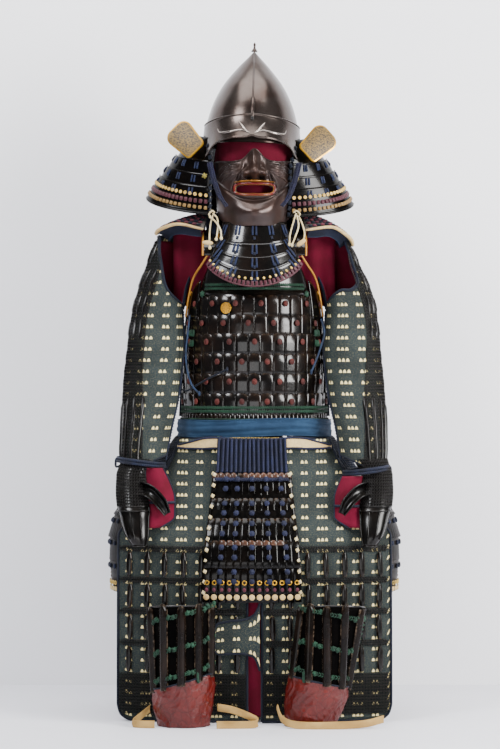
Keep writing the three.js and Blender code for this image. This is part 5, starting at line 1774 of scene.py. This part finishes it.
def hands():
    for name, side in SIDES.items():
        inside = Vector((side * 276, -200, 480))

        def back_of_hand(u, v, side=side, grow=0.0):
            z = mix(405, 600, v)
            angle = mix(-66, 96, u)
            row = HAND(z)
            half = row.half_width + grow
            knuckle = 2.4 * math.exp(-(((z - 486) / 6) ** 2))
            return Vector((side * (row.x + (half + knuckle) * wave(angle)),
                           row.y - 0.8 * (half + knuckle) * cowave(angle), z))
        shape = panel(back_of_hand, 30, 34, inside=inside)
        piece(f"hand_plate_{name}", shape, SPLINT, [f"hand_guard_{name}"], thick=2.4)
        rim = [back_of_hand(0, v, grow=1) for v in steps(1, 0, 20)]
        rim += [back_of_hand(u, 0, grow=1) for u in steps(0, 1, 20)]
        rim += [back_of_hand(1, v, grow=1) for v in steps(0, 1, 20)]
        tubes(f"hand_plate_rim_{name}", [rim], 1.9, SPLINT, spacing=4.0)
        ribs = [[back_of_hand(u, v, grow=2) for v in steps(0.08, 0.4, 8)] for u in (0.28, 0.5, 0.72)]
        ribs += [[back_of_hand(u, v, grow=1.6) for u in steps(0.06, 0.94, 14)] for v in (0.41, 0.46)]
        tubes(f"hand_plate_ribs_{name}", ribs, 1.7, SPLINT, spacing=4.0)

        def outer(u, v, side=side):
            return back_of_hand(u if side > 0 else 1 - u, v)

        links = []
        for v in steps(0.48, 1.0, 15):
            for u in steps(0.03, 0.97, 16):
                links.append(stand_on(outer, u, v, 2.0, turn=38 if round(u * 16 + v * 26) % 2 else -38))
        many(f"hand_mail_{name}", link(), links, LINK)
        # The thumb's plate, a long hooded arch.
        line = smooth_path([(side * 270, -214, 537), (side * 243, -233, 530), (side * 217, -242, 506),
                            (side * 201, -240, 478)], 4.0)

        def thumb(u, v, line=line):
            at = min(v * (len(line) - 1), len(line) - 1.001)
            i = int(at)
            here = line[i].lerp(line[i + 1], at - i)
            ahead = (line[i + 1] - line[i]).normalized()
            across = ahead.cross(Vector((0, -1, 0.2))).normalized()
            outward = across.cross(ahead).normalized()
            turn = mix(-100, 100, u)
            wide = (15.5 - 3.5 * v) * (1 - 0.4 * max(0.0, v - 0.75) / 0.25)
            return here + across * wide * wave(turn) - outward * wide * 0.9 * cowave(turn)
        plate = panel(thumb, 16, 20, inside=Vector(line[len(line) // 2]) + Vector((0, 10, 0)))
        piece(f"thumb_plate_{name}", plate, SPLINT, thick=2.0)
        edges = [[thumb(u, v) for v in steps(0, 1, 16)] for u in (0.0, 1.0)]
        tubes(f"thumb_rim_{name}", edges, 1.6, SPLINT, spacing=4.0)

        def palm(u, v, name=name, side=side):
            z = mix(446, TIE_Z[name] - 10, v)
            row = PALM(z)
            across = mix(-1, 1, u)
            fold = 2.0 * wave(u * 260 + v * 200)
            return Vector((side * (row.x + row.half_width * across), row.y + 9 * across**2 + fold, z))
        leaf = panel(palm, 18, 24, inside=Vector((side * 218, 0, 500)), chart=lambda u, v: (u * 0.07, v * 0.14))
        glove = piece(f"palm_cloth_{name}", leaf, CRIMSON, [f"palm_{name}"], thick=2.0)
        hems = [[palm(u, v) for v in steps(0, 1, 16)] for u in (0, 1)]
        tubes(f"palm_hem_{name}", hems, 1.7, INK, spacing=4.0)
        strap = [palm(u, 0.42) + Vector((0, -3.5, 0)) for u in steps(0, 1, 8)]
        tubes(f"palm_strap_{name}", [strap], 3.4, INK, spacing=4.0)


def wrist_ties():
    """Two turns of dark blue cord round each wrist, with a loop that stands off outside."""
    for name, side in SIDES.items():
        row = SLEEVE(TIE_Z[name])
        turns = []
        for lift, grow in ((5.5, 0.0), (-1.5, 1.5)):
            turns.append([Vector((side * (getattr(row, name) + 5 + (row.half_width + 5 + grow) * wave(angle)),
                                  row.y - 5 - (row.half_depth + 15) * cowave(angle),
                                  TIE_Z[name] + lift + 7 * wave(angle))) for angle in steps(-95, 265, 40)])
        laid = []
        for path in turns:
            laid += along(path, 5.0, outward=lambda p, c=side * 255: Vector((p.x - c, p.y + 120, 0)), turn=32, wobble=5)
        many(f"wrist_cord_{name}", strand(11, 6.4), laid, INK, [f"wrist_tie_{name}"])
        x = side * (getattr(row, name) + 5 + row.half_width + 4)
        y = row.y - 12
        loop = [Vector((x, y, TIE_Z[name] + 12)), Vector((x + side * 4, y - 4, TIE_Z[name] + 8)),
                Vector((x + side * 4, y - 6, TIE_Z[name] - 8)), Vector((x - side * 6, y - 6, TIE_Z[name] - 6))]
        tubes(f"wrist_loop_{name}", [loop], 2.8, INK, spacing=3.0)


hands()
wrist_ties()

# ------------------------------------------------------------------ tassets
TASSET = table("z half_width half_depth", [(650, 187, 150), (568, 252, 186), (470, 327, 214), (284, 341, 230)])
FRONT_SCALE = 58  # the height of a scale of the front tasset before it is fitted to its row
TASSET_ROWS = [568, 512, 467, 416, 361, 284]
FRONT_TASSET = table("z half_width y", [
    (652, 83, -177), (568, 87, -206), (512, 92, -227), (416, 103, -273), (361, 108, -280), (284, 113, -285),
])


def on_tasset(angle, z, out=0.0):
    row = TASSET(z)
    return Vector(((row.half_width + out) * wave(angle), -(row.half_depth + out) * cowave(angle), z))


def tasset(name, middle, node):
    """Five stepped rows of lacquered scales that hang on braid from the cuirass."""
    def flat(u, v):
        return on_tasset(middle + mix(-23, 23, u), mix(284, 568, v), -1.0)
    # The ground under the scales is the darkened lacquer, painted shade in the gaps.
    piece(f"{name}_rows", panel(flat, 30, 24), GAP_SHADE_LACQUER, [node], thick=2.2)

    def surface(angle, z):
        return on_tasset(angle, z, 2.0)

    scales, pairs = [], []
    for number, top in enumerate(TASSET_ROWS[:-1]):
        row = TASSET(top - 30)
        pitch = 1300 / math.hypot(row.half_width, row.half_depth) / 1.25
        angles = [middle + turn for turn in steps(-22.2, 22.2, round(46 / pitch))]
        scales += scale_row(surface, angles, top, seed=number + 400 + middle)
        pairs += [lay(surface, angle, top - 16, 5.0) for angle in angles[1:-1:3]]
    many(f"{name}_scales", scale_plate(20.5, 58, 2.4, hook=4.5, bulge=0.8), scales, TASSET_LACQUER, sharp=50)
    many(f"{name}_knots", joined(knot(12, 14, 7), bead(11, 5, 9)), pairs, INK)
    hem = [on_tasset(middle + angle, 292, 5.5) for angle in steps(-22, 22, 24)]
    many(f"{name}_hem_discs", disc(5.6, 1.6), along(hem, 15), CREAM)
    many(f"{name}_hem_rings", ring(4.4, 1.3), along([p + Vector((0, 0, 14)) for p in hem], 15), PALE_GOLD)
    for label, skin, start in (("maroon", MAROON, 0), ("cream", OLD_CREAM, 8)):
        loops = []
        for turn in (-22.4, 22.4):
            edge = [on_tasset(middle + turn, z, 6.5) for z in steps(300 + start, 562, 20)]
            loops += along(edge, 16, turn=38)
        many(f"{name}_edge_{label}", bead(9.5, 6.5, 13, 6, 5), loops, skin)
    laces = []
    for angle in steps(-21, 21, 13):
        path = [on_tasset(middle + angle, z, 1.0) for z in (572, 600, 630, 652)]
        laces += along(path, 5.8, turn=42)
    many(f"{name}_laces", strand(10.5, 4.8), laces, INK)
    backing = panel(lambda u, v: on_tasset(middle + mix(-21, 21, u), mix(570, 650, v), -2.6), 24, 8,
                    chart=lambda u, v: (u * 0.14, v * 0.08))
    hung = piece(f"{name}_braid_ground", backing, NAVY_CLOTH, thick=1.0)


def side_and_back_tassets():
    for name, side in SIDES.items():
        tasset(f"side_tasset_{name}", 75 * side, f"side_tasset_{name}")
        tasset(f"back_tasset_{name}", 128 * side, f"back_tasset_{name}")
    tasset("back_tasset_middle", 180, "back_tasset_middle")


def on_front(u, z, out=0.0):
    """u runs from -1 at one edge of the middle tasset to 1 at the other."""
    row = FRONT_TASSET(z)
    return Vector((row.half_width * u - 6, row.y + 12 * u * u - out, z))


def front_tasset():
    """The middle tasset: sixteen cords above, five rows of scales, discs along the hem."""
    sheet = panel(lambda u, v: on_front(mix(-1, 1, u), mix(284, 568, v), -1.0), 30, 28)
    # The ground under the scales is the darkened lacquer, painted shade in the gaps.
    piece("front_tasset_rows", sheet, GAP_SHADE_LACQUER, ["front_tasset"], thick=2.2)
    scales, worn, pairs = [], [], []
    chance = np.random.default_rng(5)

    def surface(u, z):
        return on_front(u, z, 2.4)

    for number, (top, bottom) in enumerate(zip(TASSET_ROWS, TASSET_ROWS[1:])):
        for i, u in enumerate(steps(-0.97, 0.97, 12)):
            lean = 4 + chance.uniform(-0.6, 0.6)
            place = lay_front(surface, u, top, 0.0)
            place = place @ Matrix.Rotation(math.radians(lean), 4, "X")
            height = (top - bottom + 6) / FRONT_SCALE
            place = place @ Matrix.Diagonal((1 + 0.03 * number, 1, height, 1))
            scales.append(place)
            if (number == 0 and i != 4) or (number == 3 and 2 <= i <= 10):
                worn.append(place @ Matrix.Translation((0, -0.7, 0)) @ Matrix.Diagonal((1, 1, 1 / height, 1)))
        for u in (-0.66, -0.37, 0.0, 0.36, 0.73):
            for z in (top - 13, top - 35):
                pairs.append(lay_front(surface, u, z, 9.5))
    many("front_scales", scale_plate(15.6, FRONT_SCALE, 2.4, hook=4.5, bulge=0.3), scales, LAME, sharp=50)
    many("front_worn_heads", scale_plate(14.8, 8, 2.8, hook=5.5), worn, BROWN, sharp=50)
    many("front_knots", joined(knot(17, 15, 8), bead(14, 8, 12.5)), pairs, NAVY_SILK)
    # Cream loops down both sides.
    loops = []
    for side in (-1, 1):
        for z in steps(300, 566, 11):
            loops.append(lay_front(on_front, side * 0.985, z, 4.0, turn=side * 20))
    many("front_side_loops", joined(bead(10, 6, 7.5, 8, 6), bead(5, 6, 12, 8, 6)), loops, CREAM_CORD)
    hem = steps(-0.92, 0.92, 12)
    many("front_hem_rings", ring(4.6, 1.6, 12, 6),
         [lay_front(on_front, u, 323, 8.0) for u in hem], GOLD)
    many("front_hem_maroon", bead(8.5, 5, 9.5, 10, 8),
         [lay_front(on_front, u, 307, 7.5) for u in hem], MAROON_SILK)
    many("front_hem_discs", disc(6.8, 2.4, around=14),
         [lay_front(on_front, u, 290, 8.0) for u in hem], CREAM)
    # The row of cords that carries it, on a dark cloth panel.
    ground = panel(lambda u, v: on_front(mix(-0.97, 0.97, u), mix(570, 652, v), -1.0), 30, 14,
                   chart=lambda u, v: (u * 0.17, v * 0.09))
    held = piece("front_lacing_ground", ground, NAVY_CLOTH, ["front_tasset_lacing"], thick=1.2)
    strands = []
    for i, u in enumerate(steps(-0.92, 0.92, 15)):
        sway = 0.012 * wave(i * 77)
        path = [on_front(u + sway * s, 572 + 80 * s, 3.0) for s in (0, 0.35, 0.7, 1)]
        strands += along(path, 3.9, outward=lambda p: Vector((0, -1, 0)), turn=40, wobble=5, seed=i)
    many("front_lacing_cords", strand(9.0, 5.6), strands, NAVY_SILK)
    line = [on_front(u, 557, 8.5) for u in steps(-0.99, 0.99, 24)]
    many("front_cross_cord", strand(13, 7.5), along(line, 5.2, outward=lambda p: Vector((0, -1, 0)), turn=34),
         NAVY_SILK)


NAVY_SILK = silk("navy silk", (22, 28, 58), (34, 42, 78))
side_and_back_tassets()
front_tasset()

# ------------------------------------------------------------------ thigh guard
THIGH = table("z y half_width back", [
    (652, -166, 176, 77), (600, -181, 196, 75), (540, -204, 230, 70), (480, -228, 276, 64), (412, -254, 316, 58),
    (300, -262, 316, 52), (0, -270, 316, 45),
])
THIGH_TOP, BEND_Z, SLIT = 648.0, 412, 17


def on_thigh(x, z, out=0.0):
    """The thigh guard's curtain at a distance x from the middle, measured across."""
    row = THIGH(z)
    return Vector((x, row.y + row.back * abs(x / row.half_width) ** 2.4 - out, z))


def inner_edge(z):
    return mix(SLIT, 2, min(1.0, max(0.0, (z - 330) / (BEND_Z - 330))))


def thigh_hem(x):
    """The hem turns up round its outer corner."""
    return 4 + 35 - math.sqrt(max(0.0, 35**2 - max(abs(x) - 281, 0) ** 2))


def thigh_folds(x, z):
    """Soft upright folds where the curtain hangs free, and slack between the mail bands."""
    free = min(1.0, max(0.0, (420 - z) / 300))
    fall = free * (2.6 * wave(x * 1.15 + 30) + 1.6 * wave(x * 2.3 + 100))
    slack = 2.2 * math.exp(-(((z - 560) / 60) ** 2)) * wave(x * 2.0)
    return fall + slack


def thigh_place(side):
    def place(u, v):
        near_z = THIGH_TOP * v
        x = mix(inner_edge(near_z), THIGH(near_z).half_width, u)
        z = mix(thigh_hem(x), THIGH_TOP, v)
        return on_thigh(side * x, z, thigh_folds(side * x, z))
    return place


def thigh_cloths():
    for name, side in SIDES.items():
        def chart(u, v, side=side):
            z = THIGH_TOP * v
            half = THIGH(z).half_width
            x = mix(inner_edge(z), half, u) * side
            # Down the slope the cloth is longer than it is tall.
            return (x + 6) * 1.02 * MM + BELL_COLUMN * 20.5, z * 1.045 * MM
        surface = thigh_place(side)
        sheet = panel(surface, 48, 72, inside=Vector((0, 0, 300)), chart=chart)
        cloth_piece = piece(f"thigh_brocade_{name}", sheet, TEAL, [f"thigh_cloth_{name}"], thick=2.0)
        hem = [surface(u, 0.0) + Vector((0, -1, 0)) for u in steps(0, 1, 60)]
        outer = [surface(1.0, v) + Vector((0, -1, 0)) for v in steps(0, 1, 60)]
        inner = [surface(0.0, v) + Vector((0, -1, 0)) for v in steps(0, 0.94, 60)]
        tubes(f"thigh_piping_{name}", [hem, outer, inner], 3.0, DARK_PIPING, spacing=6.0)


def flat_on_thigh(x, z, out=0.0):
    return on_thigh(x, z, out + thigh_folds(x, z))


MAIL_BANDS = (398, 326, 254, 182)
MAIL_LOW = (22, 108)
MAIL_SPLINT = 56


def thigh_armour():
    """Bands of mail with lacquered splints hung between them, over the lower half."""
    link_pitch = 7.0
    for name, side in SIDES.items():
        band_links, splints, low_links = [], [], []
        first = SLIT + 7
        for z in MAIL_BANDS:
            count = round((309 - first) / link_pitch)
            for i, x in enumerate(steps(first, 309, count)):
                turn = 40 if i % 2 else -40
                band_links.append(lay_thigh(flat_on_thigh, side * x, z, 4.0, turn=turn))
        chance = np.random.default_rng(11)
        tops = list(MAIL_BANDS) + [108]
        for top, bottom in zip(tops, tops[1:]):
            height = top - bottom - 16
            for x in steps(first + 16, 288, 6):
                x += chance.uniform(-1.5, 1.5)
                place = stand_on(flat_on_thigh, side * x, (top + bottom) / 2 - 1, 5.0, du=2, dv=4,
                                 turn=chance.uniform(-1.5, 1.5), size=(1, 1, height / MAIL_SPLINT))
                splints.append(place)
        for row, z in enumerate(steps(*MAIL_LOW, 12)):
            for i, x in enumerate(steps(first, 308, 43)):
                if z > thigh_hem(x) + 6:
                    turn = 40 if (i + row) % 2 else -40
                    low_links.append(lay_thigh(flat_on_thigh, side * x, z, 3.4, turn=turn))
        many(f"thigh_mail_bands_{name}", link(), band_links, LINK,
             [f"thigh_splints_{name}"])
        many(f"thigh_mail_{name}", link(), low_links, LINK)
        many(f"thigh_splint_bars_{name}", splint(12.5, MAIL_SPLINT, 2.2, 2.8), splints, SPLINT, sharp=50)
        rows = []
        for z in [z + 5 for z in MAIL_BANDS] + [z - 5 for z in MAIL_BANDS]:
            path = [flat_on_thigh(side * x, z, 4.0) for x in steps(first, 309, 40)]
            rows += along(path, 6.0, outward=lambda p: Vector((0, -1, 0)), turn=45 * side)
        many(f"thigh_mail_cords_{name}", strand(8.5, 3.4), rows, LINK)


def thigh_flap():
    """The right half's upper corner laps over the left half in a rounded flap."""
    edge = table("x top bottom", [(-92, 228, 157), (-55, 235, 160), (-16, 241, 158), (4, 256, 146), (12, 276, 122)])

    def place(u, v):
        x = mix(-92, 12, u)
        row = edge(x)
        round_off = 10 * max(0.0, 1 - u / 0.12) ** 2
        z = mix(row.bottom + round_off, row.top - round_off, v)
        return flat_on_thigh(x, z, 12 + 2.0 * wave(180 * v) + 1.2 * wave(u * 400))
    shape = panel(place, 40, 28, inside=Vector((0, 0, 200)),
                  chart=lambda u, v: (mix(-92, 12, u) * MM + BELL_COLUMN * 22.5, mix(0.006, 0.08, v)))
    flap = piece("thigh_flap_cloth", shape, TEAL, ["thigh_flap"], thick=1.8)
    rim = [place(u, 1) for u in steps(1, 0, 20)] + [place(0, v) for v in steps(1, 0, 10)][1:-1]
    rim += [place(u, 0) for u in steps(0, 1, 20)]
    tubes("thigh_flap_piping", [[p + Vector((0, -1, 0)) for p in rim]], 3.0, DARK_PIPING, spacing=4.0)


def thigh_belt_and_lining():
    def belt(u, v):
        # The leather belt bows up a little at each side of the middle.
        x = mix(-182, 182, u)
        bow = 9 * wave(180 * min(1, abs(x) / 178)) ** 1.5
        slim = 1 - 0.75 * max(0.0, abs(x) - 120) / 62
        z = mix(631 - 12 * slim, 631 + 12 * slim, v) + bow
        return on_thigh(x, z, 6.5)
    shape = panel(belt, 70, 8, inside=Vector((0, 0, 600)))
    made = piece("thigh_belt_leather", shape, CREAM, ["thigh_belt"], thick=2.4)
    for number, v in enumerate((0.0, 1.0)):
        path = [belt(u, v) + Vector((0, -1.0, 0)) for u in steps(0, 1, 60)]
        many(f"thigh_belt_cord_{number}", strand(8.5, 4.2),
             along(path, 4.4, outward=lambda p: Vector((0, -1, 0)), turn=36), NAVY_SILK)

    def lining(u, v):
        x = mix(-42, 42, u)
        return on_thigh(x, mix(14, 330, v), -10.5 + 2.5 * wave(x * 5 + v * 90))
    sheet = panel(lining, 26, 50, inside=Vector((0, 0, 200)), chart=lambda u, v: (u * 0.084, v * 0.316))
    inner = piece("thigh_lining_cloth", sheet, CRIMSON, ["thigh_lining"], thick=1.2)


thigh_cloths()
thigh_armour()
thigh_flap()
thigh_belt_and_lining()

# ------------------------------------------------------------------ shin guards
SHINS = {"left": (-161, -168, 20), "right": (127, 180, -14)}
SHIN_TOP, SHIN_LEATHER, SHIN_Y = 276, 104, -302
SHIN_BARS = (-68, -34, 0, 33, 66)


def on_shin(name, angle, z, out=0.0):
    foot, head, _ = SHINS[name]
    up = z / SHIN_TOP
    return Vector((mix(foot, head, up) + (mix(64, 73, up) + out) * wave(angle), SHIN_Y - (56 + out) * cowave(angle), z))


def shin_guards():
    for name in SIDES:
        slope = SHINS[name][2]

        def surface(angle, z, name=name):
            return on_shin(name, angle, z, 0.0)

        def plate(u, v, name=name):
            angle = mix(-86, 86, u)
            return on_shin(name, angle, mix(88, SHIN_TOP - 9 + 9 * cowave(angle), v))
        inside = Vector((mix(SHINS[name][0], SHINS[name][1], 0.6), SHIN_Y, 180))
        # The backing between the splints is the darkened lacquer, painted shade in the gaps.
        piece(f"shin_backing_{name}", panel(plate, 40, 24, inside=inside), GAP_SHADE_LACQUER,
              [f"shin_guard_{name}"], thick=3.6)
        bars = []
        for i, angle in enumerate(SHIN_BARS):
            top = SHIN_TOP - 6 + 9 * cowave(angle) + (5 if i % 2 else -1)
            bottom = 96 + slope * wave(angle)
            bars.append(stand_on(surface, angle, (top + bottom) / 2, 3.0, du=1, dv=10,
                                 size=(1, 1, (top - bottom) / 180)))
        many(f"shin_splints_{name}", shin_splint(), bars, SHIN_LACQUER, sharp=60)
        lacing_rows, knots = [], []
        for k, z in enumerate((257, 184, 122)):
            for lean in (-1, 1):
                path = [on_shin(name, angle, z + slope * wave(angle) + 2.6 * lean, 5.5 + 1.2 * cowave(angle * 10.6))
                        for angle in steps(-80, 80, 40)]
                lacing_rows += along(path, 6.6, outward=lambda p, c=inside: Vector((p.x - c.x, p.y - c.y, 0)),
                                     turn=34 * lean, wobble=10, seed=k)
            for angle in SHIN_BARS:
                for aside in (-12.5, 12.5):
                    lift = slope * wave(angle + aside) + 3 * wave(angle * 7 + aside)
                    knots.append(lay_shin(surface, angle + aside, z + lift, 4.5, turn=aside * 2))
        many(f"shin_green_lacing_{name}", strand(9.0, 3.2), lacing_rows, GREEN)
        many(f"shin_green_knots_{name}", knot(13, 13, 9), knots, GREEN)
        edge = [on_shin(name, angle, SHIN_TOP - 8 + 9 * cowave(angle), 1.0) for angle in steps(-86, 86, 30)]
        sides = [[on_shin(name, angle, z, 1.0) for z in steps(96, SHIN_TOP - 8, 16)] for angle in (-86, 86)]
        tubes(f"shin_rim_{name}", [edge, *sides], 2.6, BLACK)
        # Down the outer side, by the long splint, runs a column of green lacing.
        outer = 80 * SIDES[name]
        column = [on_shin(name, outer, z, 5.5) for z in steps(110, 250, 14)]
        many(f"shin_side_lacing_{name}", joined(strand(9, 4.0), strand(4, 7)),
             along(column, 10, outward=lambda p, c=inside: Vector((p.x - c.x, p.y - c.y, 0)), turn=35), GREEN)

        def leather_place(u, v, name=name, slope=slope):
            angle = mix(-86, 86, u)
            z = mix(0.8, SHIN_LEATHER + slope * wave(angle), v)
            crease = 1.5 * wave(angle * 4.2 + v * 240) * wave(180 * v) + 1.1 * wave(angle * 8.7 - v * 460)
            for k, bend in enumerate((5.1, -7.3, 11.7, 3.1)):
                fold = wave(angle * bend + 90 * wave(v * (310 + 170 * k) + 50 * k) + 77 * k)
                crease += 1.7 * (1 - abs(fold)) ** 5
            return on_shin(name, angle, z, 4.5 - 14 * max(0.0, (1 - v) - 0.3) + crease)
        shape = panel(leather_place, 72, 38, inside=Vector((SHINS[name][0], SHIN_Y, 50)))
        skin = piece(f"shin_leather_skin_{name}", shape, BRICK, [f"shin_leather_{name}"], thick=2.4)
        line = [leather_place(u, 1.0) for u in steps(0, 1, 40)]
        tubes(f"shin_leather_piping_{name}", [line], 2.2, DARK_PIPING, spacing=4.0)
        tab = lay_shin(surface, -30 * SIDES[name], 116, 9.0)
        many(f"shin_tab_{name}", splint(9, 26, 2.0, 1.2), [tab], GREEN)


def shin_splint():
    """A tall ridged splint with a rounded head."""
    shape = bmesh.new()
    bmesh.ops.create_grid(shape, x_segments=8, y_segments=12, size=0.5)
    for vert in shape.verts:
        u, v = vert.co.x * 2, vert.co.y * 2
        head = 1 - 0.35 * max(0.0, v - 0.9) / 0.1
        round_top = -3.5 * max(0.0, v - 0.8) / 0.2 * u * u
        vert.co = (u * 10.4 * head, -8.4 * (1 - abs(u) ** 1.8) - 1.0 * (1 - v**8), v * 90 + round_top)
    look_out(shape, Vector((0, 50, 0)))
    rim_marked(shape)
    return thickened(shape, 3.0)


SHIN_LACQUER = lacquer("shin lacquer", (22, 17, 14), (42, 32, 26), roughness=0.2, rubbed=0.7, rub=(120, 104, 88),
                       coat=0.04, shine=0.09)
shin_guards()

# ------------------------------------------------------------------ floor tapes
TAPES = {
    "left": [(-238, -306, 30), (-262, -318, 12), (-276, -326, 0.3), (-264, -346, 0), (-226, -352, 0)],
    "middle": [(-84, -318, 34), (-52, -330, 30), (-16, -338, 18), (8, -346, 6), (-8, -356, 0), (-86, -362, 0)],
    "right": [(52, -324, 34), (64, -350, 10), (100, -366, 0), (190, -368, 0), (250, -362, 3), (292, -350, 12)],
}


def floor_tapes():
    for name, points in TAPES.items():
        path = smooth_path(points, 2.5)
        length = path_length(path) * MM

        def place(u, v, path=path):
            at = u * (len(path) - 1)
            i = min(int(at), len(path) - 2)
            here = path[i].lerp(path[i + 1], at - i)
            ahead = path[i + 1] - path[i]
            aside = Vector((ahead.y, -ahead.x, 0)).normalized()
            bend = 1.4 * wave(u * 900 + 40) * wave(180 * v) + 1.0 * wave(v * 180)
            return here + Vector((0, 0, 0.8 + 16.5 * v)) + aside * bend
        shape = panel(place, 90, 8, inside=Vector((0, 0, 0)), chart=lambda u, v, k=length: (u * k, v * 0.018))
        tape = piece(f"tape_{name}", shape, TAPE, [f"floor_tape_{name}"], thick=1.4, offset=0.0)
        hems = [[place(u, v) for u in steps(0, 1, 60)] for v in (0.03, 0.97)]
        tubes(f"tape_hems_{name}", hems, 0.9, TAPE, spacing=6.0)


floor_tapes()

# ------------------------------------------------------------------ armour box, head form and room
def cuboid(size, centre):
    shape = bmesh.new()
    bmesh.ops.create_cube(shape, size=1.0)
    return shift(stretch(shape, size), centre)


def stand_and_head():
    box = cuboid((330, 330, 30), (0, 0, 405))
    base = cuboid((322, 322, 390), (0, 0, 195.3))
    post = spun([(0, 415), (20, 415), (19.5, 700), (18, 1000), (17, 1140), (15, 1150), (0, 1150)], 24)
    whole = joined(box, base, cuboid((180, 26, 20), (0, 0, 1092)))
    bmesh.ops.bevel(whole, geom=[e for e in whole.edges if e.calc_face_angle(0) > 0.9], offset=2.2,
                    offset_type="OFFSET", segments=3, profile=0.5, affect="EDGES", material=-1)
    piece("box_and_post", joined(whole, post), WOOD, ["armour_stand"], sharp=40)
    profile = [(95 * math.cos(math.radians(t)), (118 if t > 0 else 128) * math.sin(math.radians(t)))
               for t in steps(-90, 90, 24)]
    profile[0], profile[-1] = (0, profile[0][1]), (0, profile[-1][1])
    head = spun(profile, 40, 0.93)
    shift(head, (0, -28, 1304))
    neck = spun([(0, 1206), (22, 1206), (22, 1148), (0, 1146)], 24)
    piece("padded_head", joined(head, neck), CRIMSON, ["head_form"])
    seams = [[Vector((95.3 * cowave(t), -28, 1304 + (118.3 if wave(t) > 0 else 128.3) * wave(t)))
              for t in steps(-70, 250, 48)]]
    tubes("head_seams", seams, 1.1, CRIMSON)


stand_and_head()


BACKDROP_GAP = 0.44  # metres from the armour's middle line back to the wall


def stage_material(name, near, far, roughness):
    """A pale room surface; its back is clear, so that it can be looked through from behind."""
    made, s, sockets = material(name, roughness=roughness, Specular_IOR_Level=0.3)
    where = object_place(s)
    cloudy = s.noise(where, 1.4, 4, 0.6)
    grain = s.noise(where, 260, 3, 0.6)
    s.put(sockets["Base Color"], s.blend(s.math("MULTIPLY_ADD", grain, 0.25, cloudy), colour(*near), colour(*far)))
    bump(s, sockets, grain, 0.0004, 0.25)
    back = s.add("ShaderNodeNewGeometry").outputs["Backfacing"]
    s.put(sockets["Alpha"], s.math("SUBTRACT", 1.0, back))
    return made


def stage_sheet(name, shape, skin):
    mesh = bpy.data.meshes.new(name)
    shape.to_mesh(mesh)
    shape.free()
    mesh.materials.append(skin)
    placed(bpy.data.objects.new(name, mesh))


def room():
    floor, wall = bmesh.new(), bmesh.new()
    bmesh.ops.create_grid(floor, x_segments=8, y_segments=8, size=4.0)
    stage_sheet("floor", floor, stage_material("pale floor", (240, 240, 245), (230, 230, 236), 0.55))
    bmesh.ops.create_grid(wall, x_segments=8, y_segments=4, size=4.0)
    shift(swing(wall, QUARTER, "X"), (0, AXIS.y + BACKDROP_GAP, 4.0))
    stage_sheet("backdrop", wall, stage_material("pale backdrop", (250, 250, 253), (246, 246, 249), 0.9))


def light(name, energy, place, aim, size, tint=(1, 1, 1)):
    lamp = bpy.data.lights.new(name, "AREA")
    lamp.energy = energy
    lamp.color = tint
    lamp.shape = "RECTANGLE"
    lamp.size, lamp.size_y = size
    thing = placed(bpy.data.objects.new(name, lamp))
    thing.location = Vector(place) + AXIS
    thing.rotation_euler = (Vector(aim) + AXIS - thing.location).to_track_quat("-Z", "Y").to_euler()
    return thing


def lights():
    light("key", 150, (2.1, -1.75, 1.5), (0, 0, 0.95), (0.9, 1.5), (1.0, 0.99, 0.97))
    light("high_left", 110, (-1.8, -2.1, 3.0), (0, 0, 0.9), (1.1, 0.9), (0.97, 0.98, 1.0))
    light("top", 100, (0, -0.6, 3.4), (0, 0.1, 0.8), (2.6, 1.4))
    low = light("front_low", 24, (-0.5, -3.8, 0.5), (0, 0, 0.5), (2.4, 0.7))
    low.data.specular_factor = 0.0
    world = bpy.data.worlds.new("studio")
    world.use_nodes = True
    world.node_tree.nodes["Background"].inputs["Color"].default_value = (0.86, 0.88, 0.92, 1)
    world.node_tree.nodes["Background"].inputs["Strength"].default_value = 0.2
    bpy.context.scene.world = world


room()
lights()
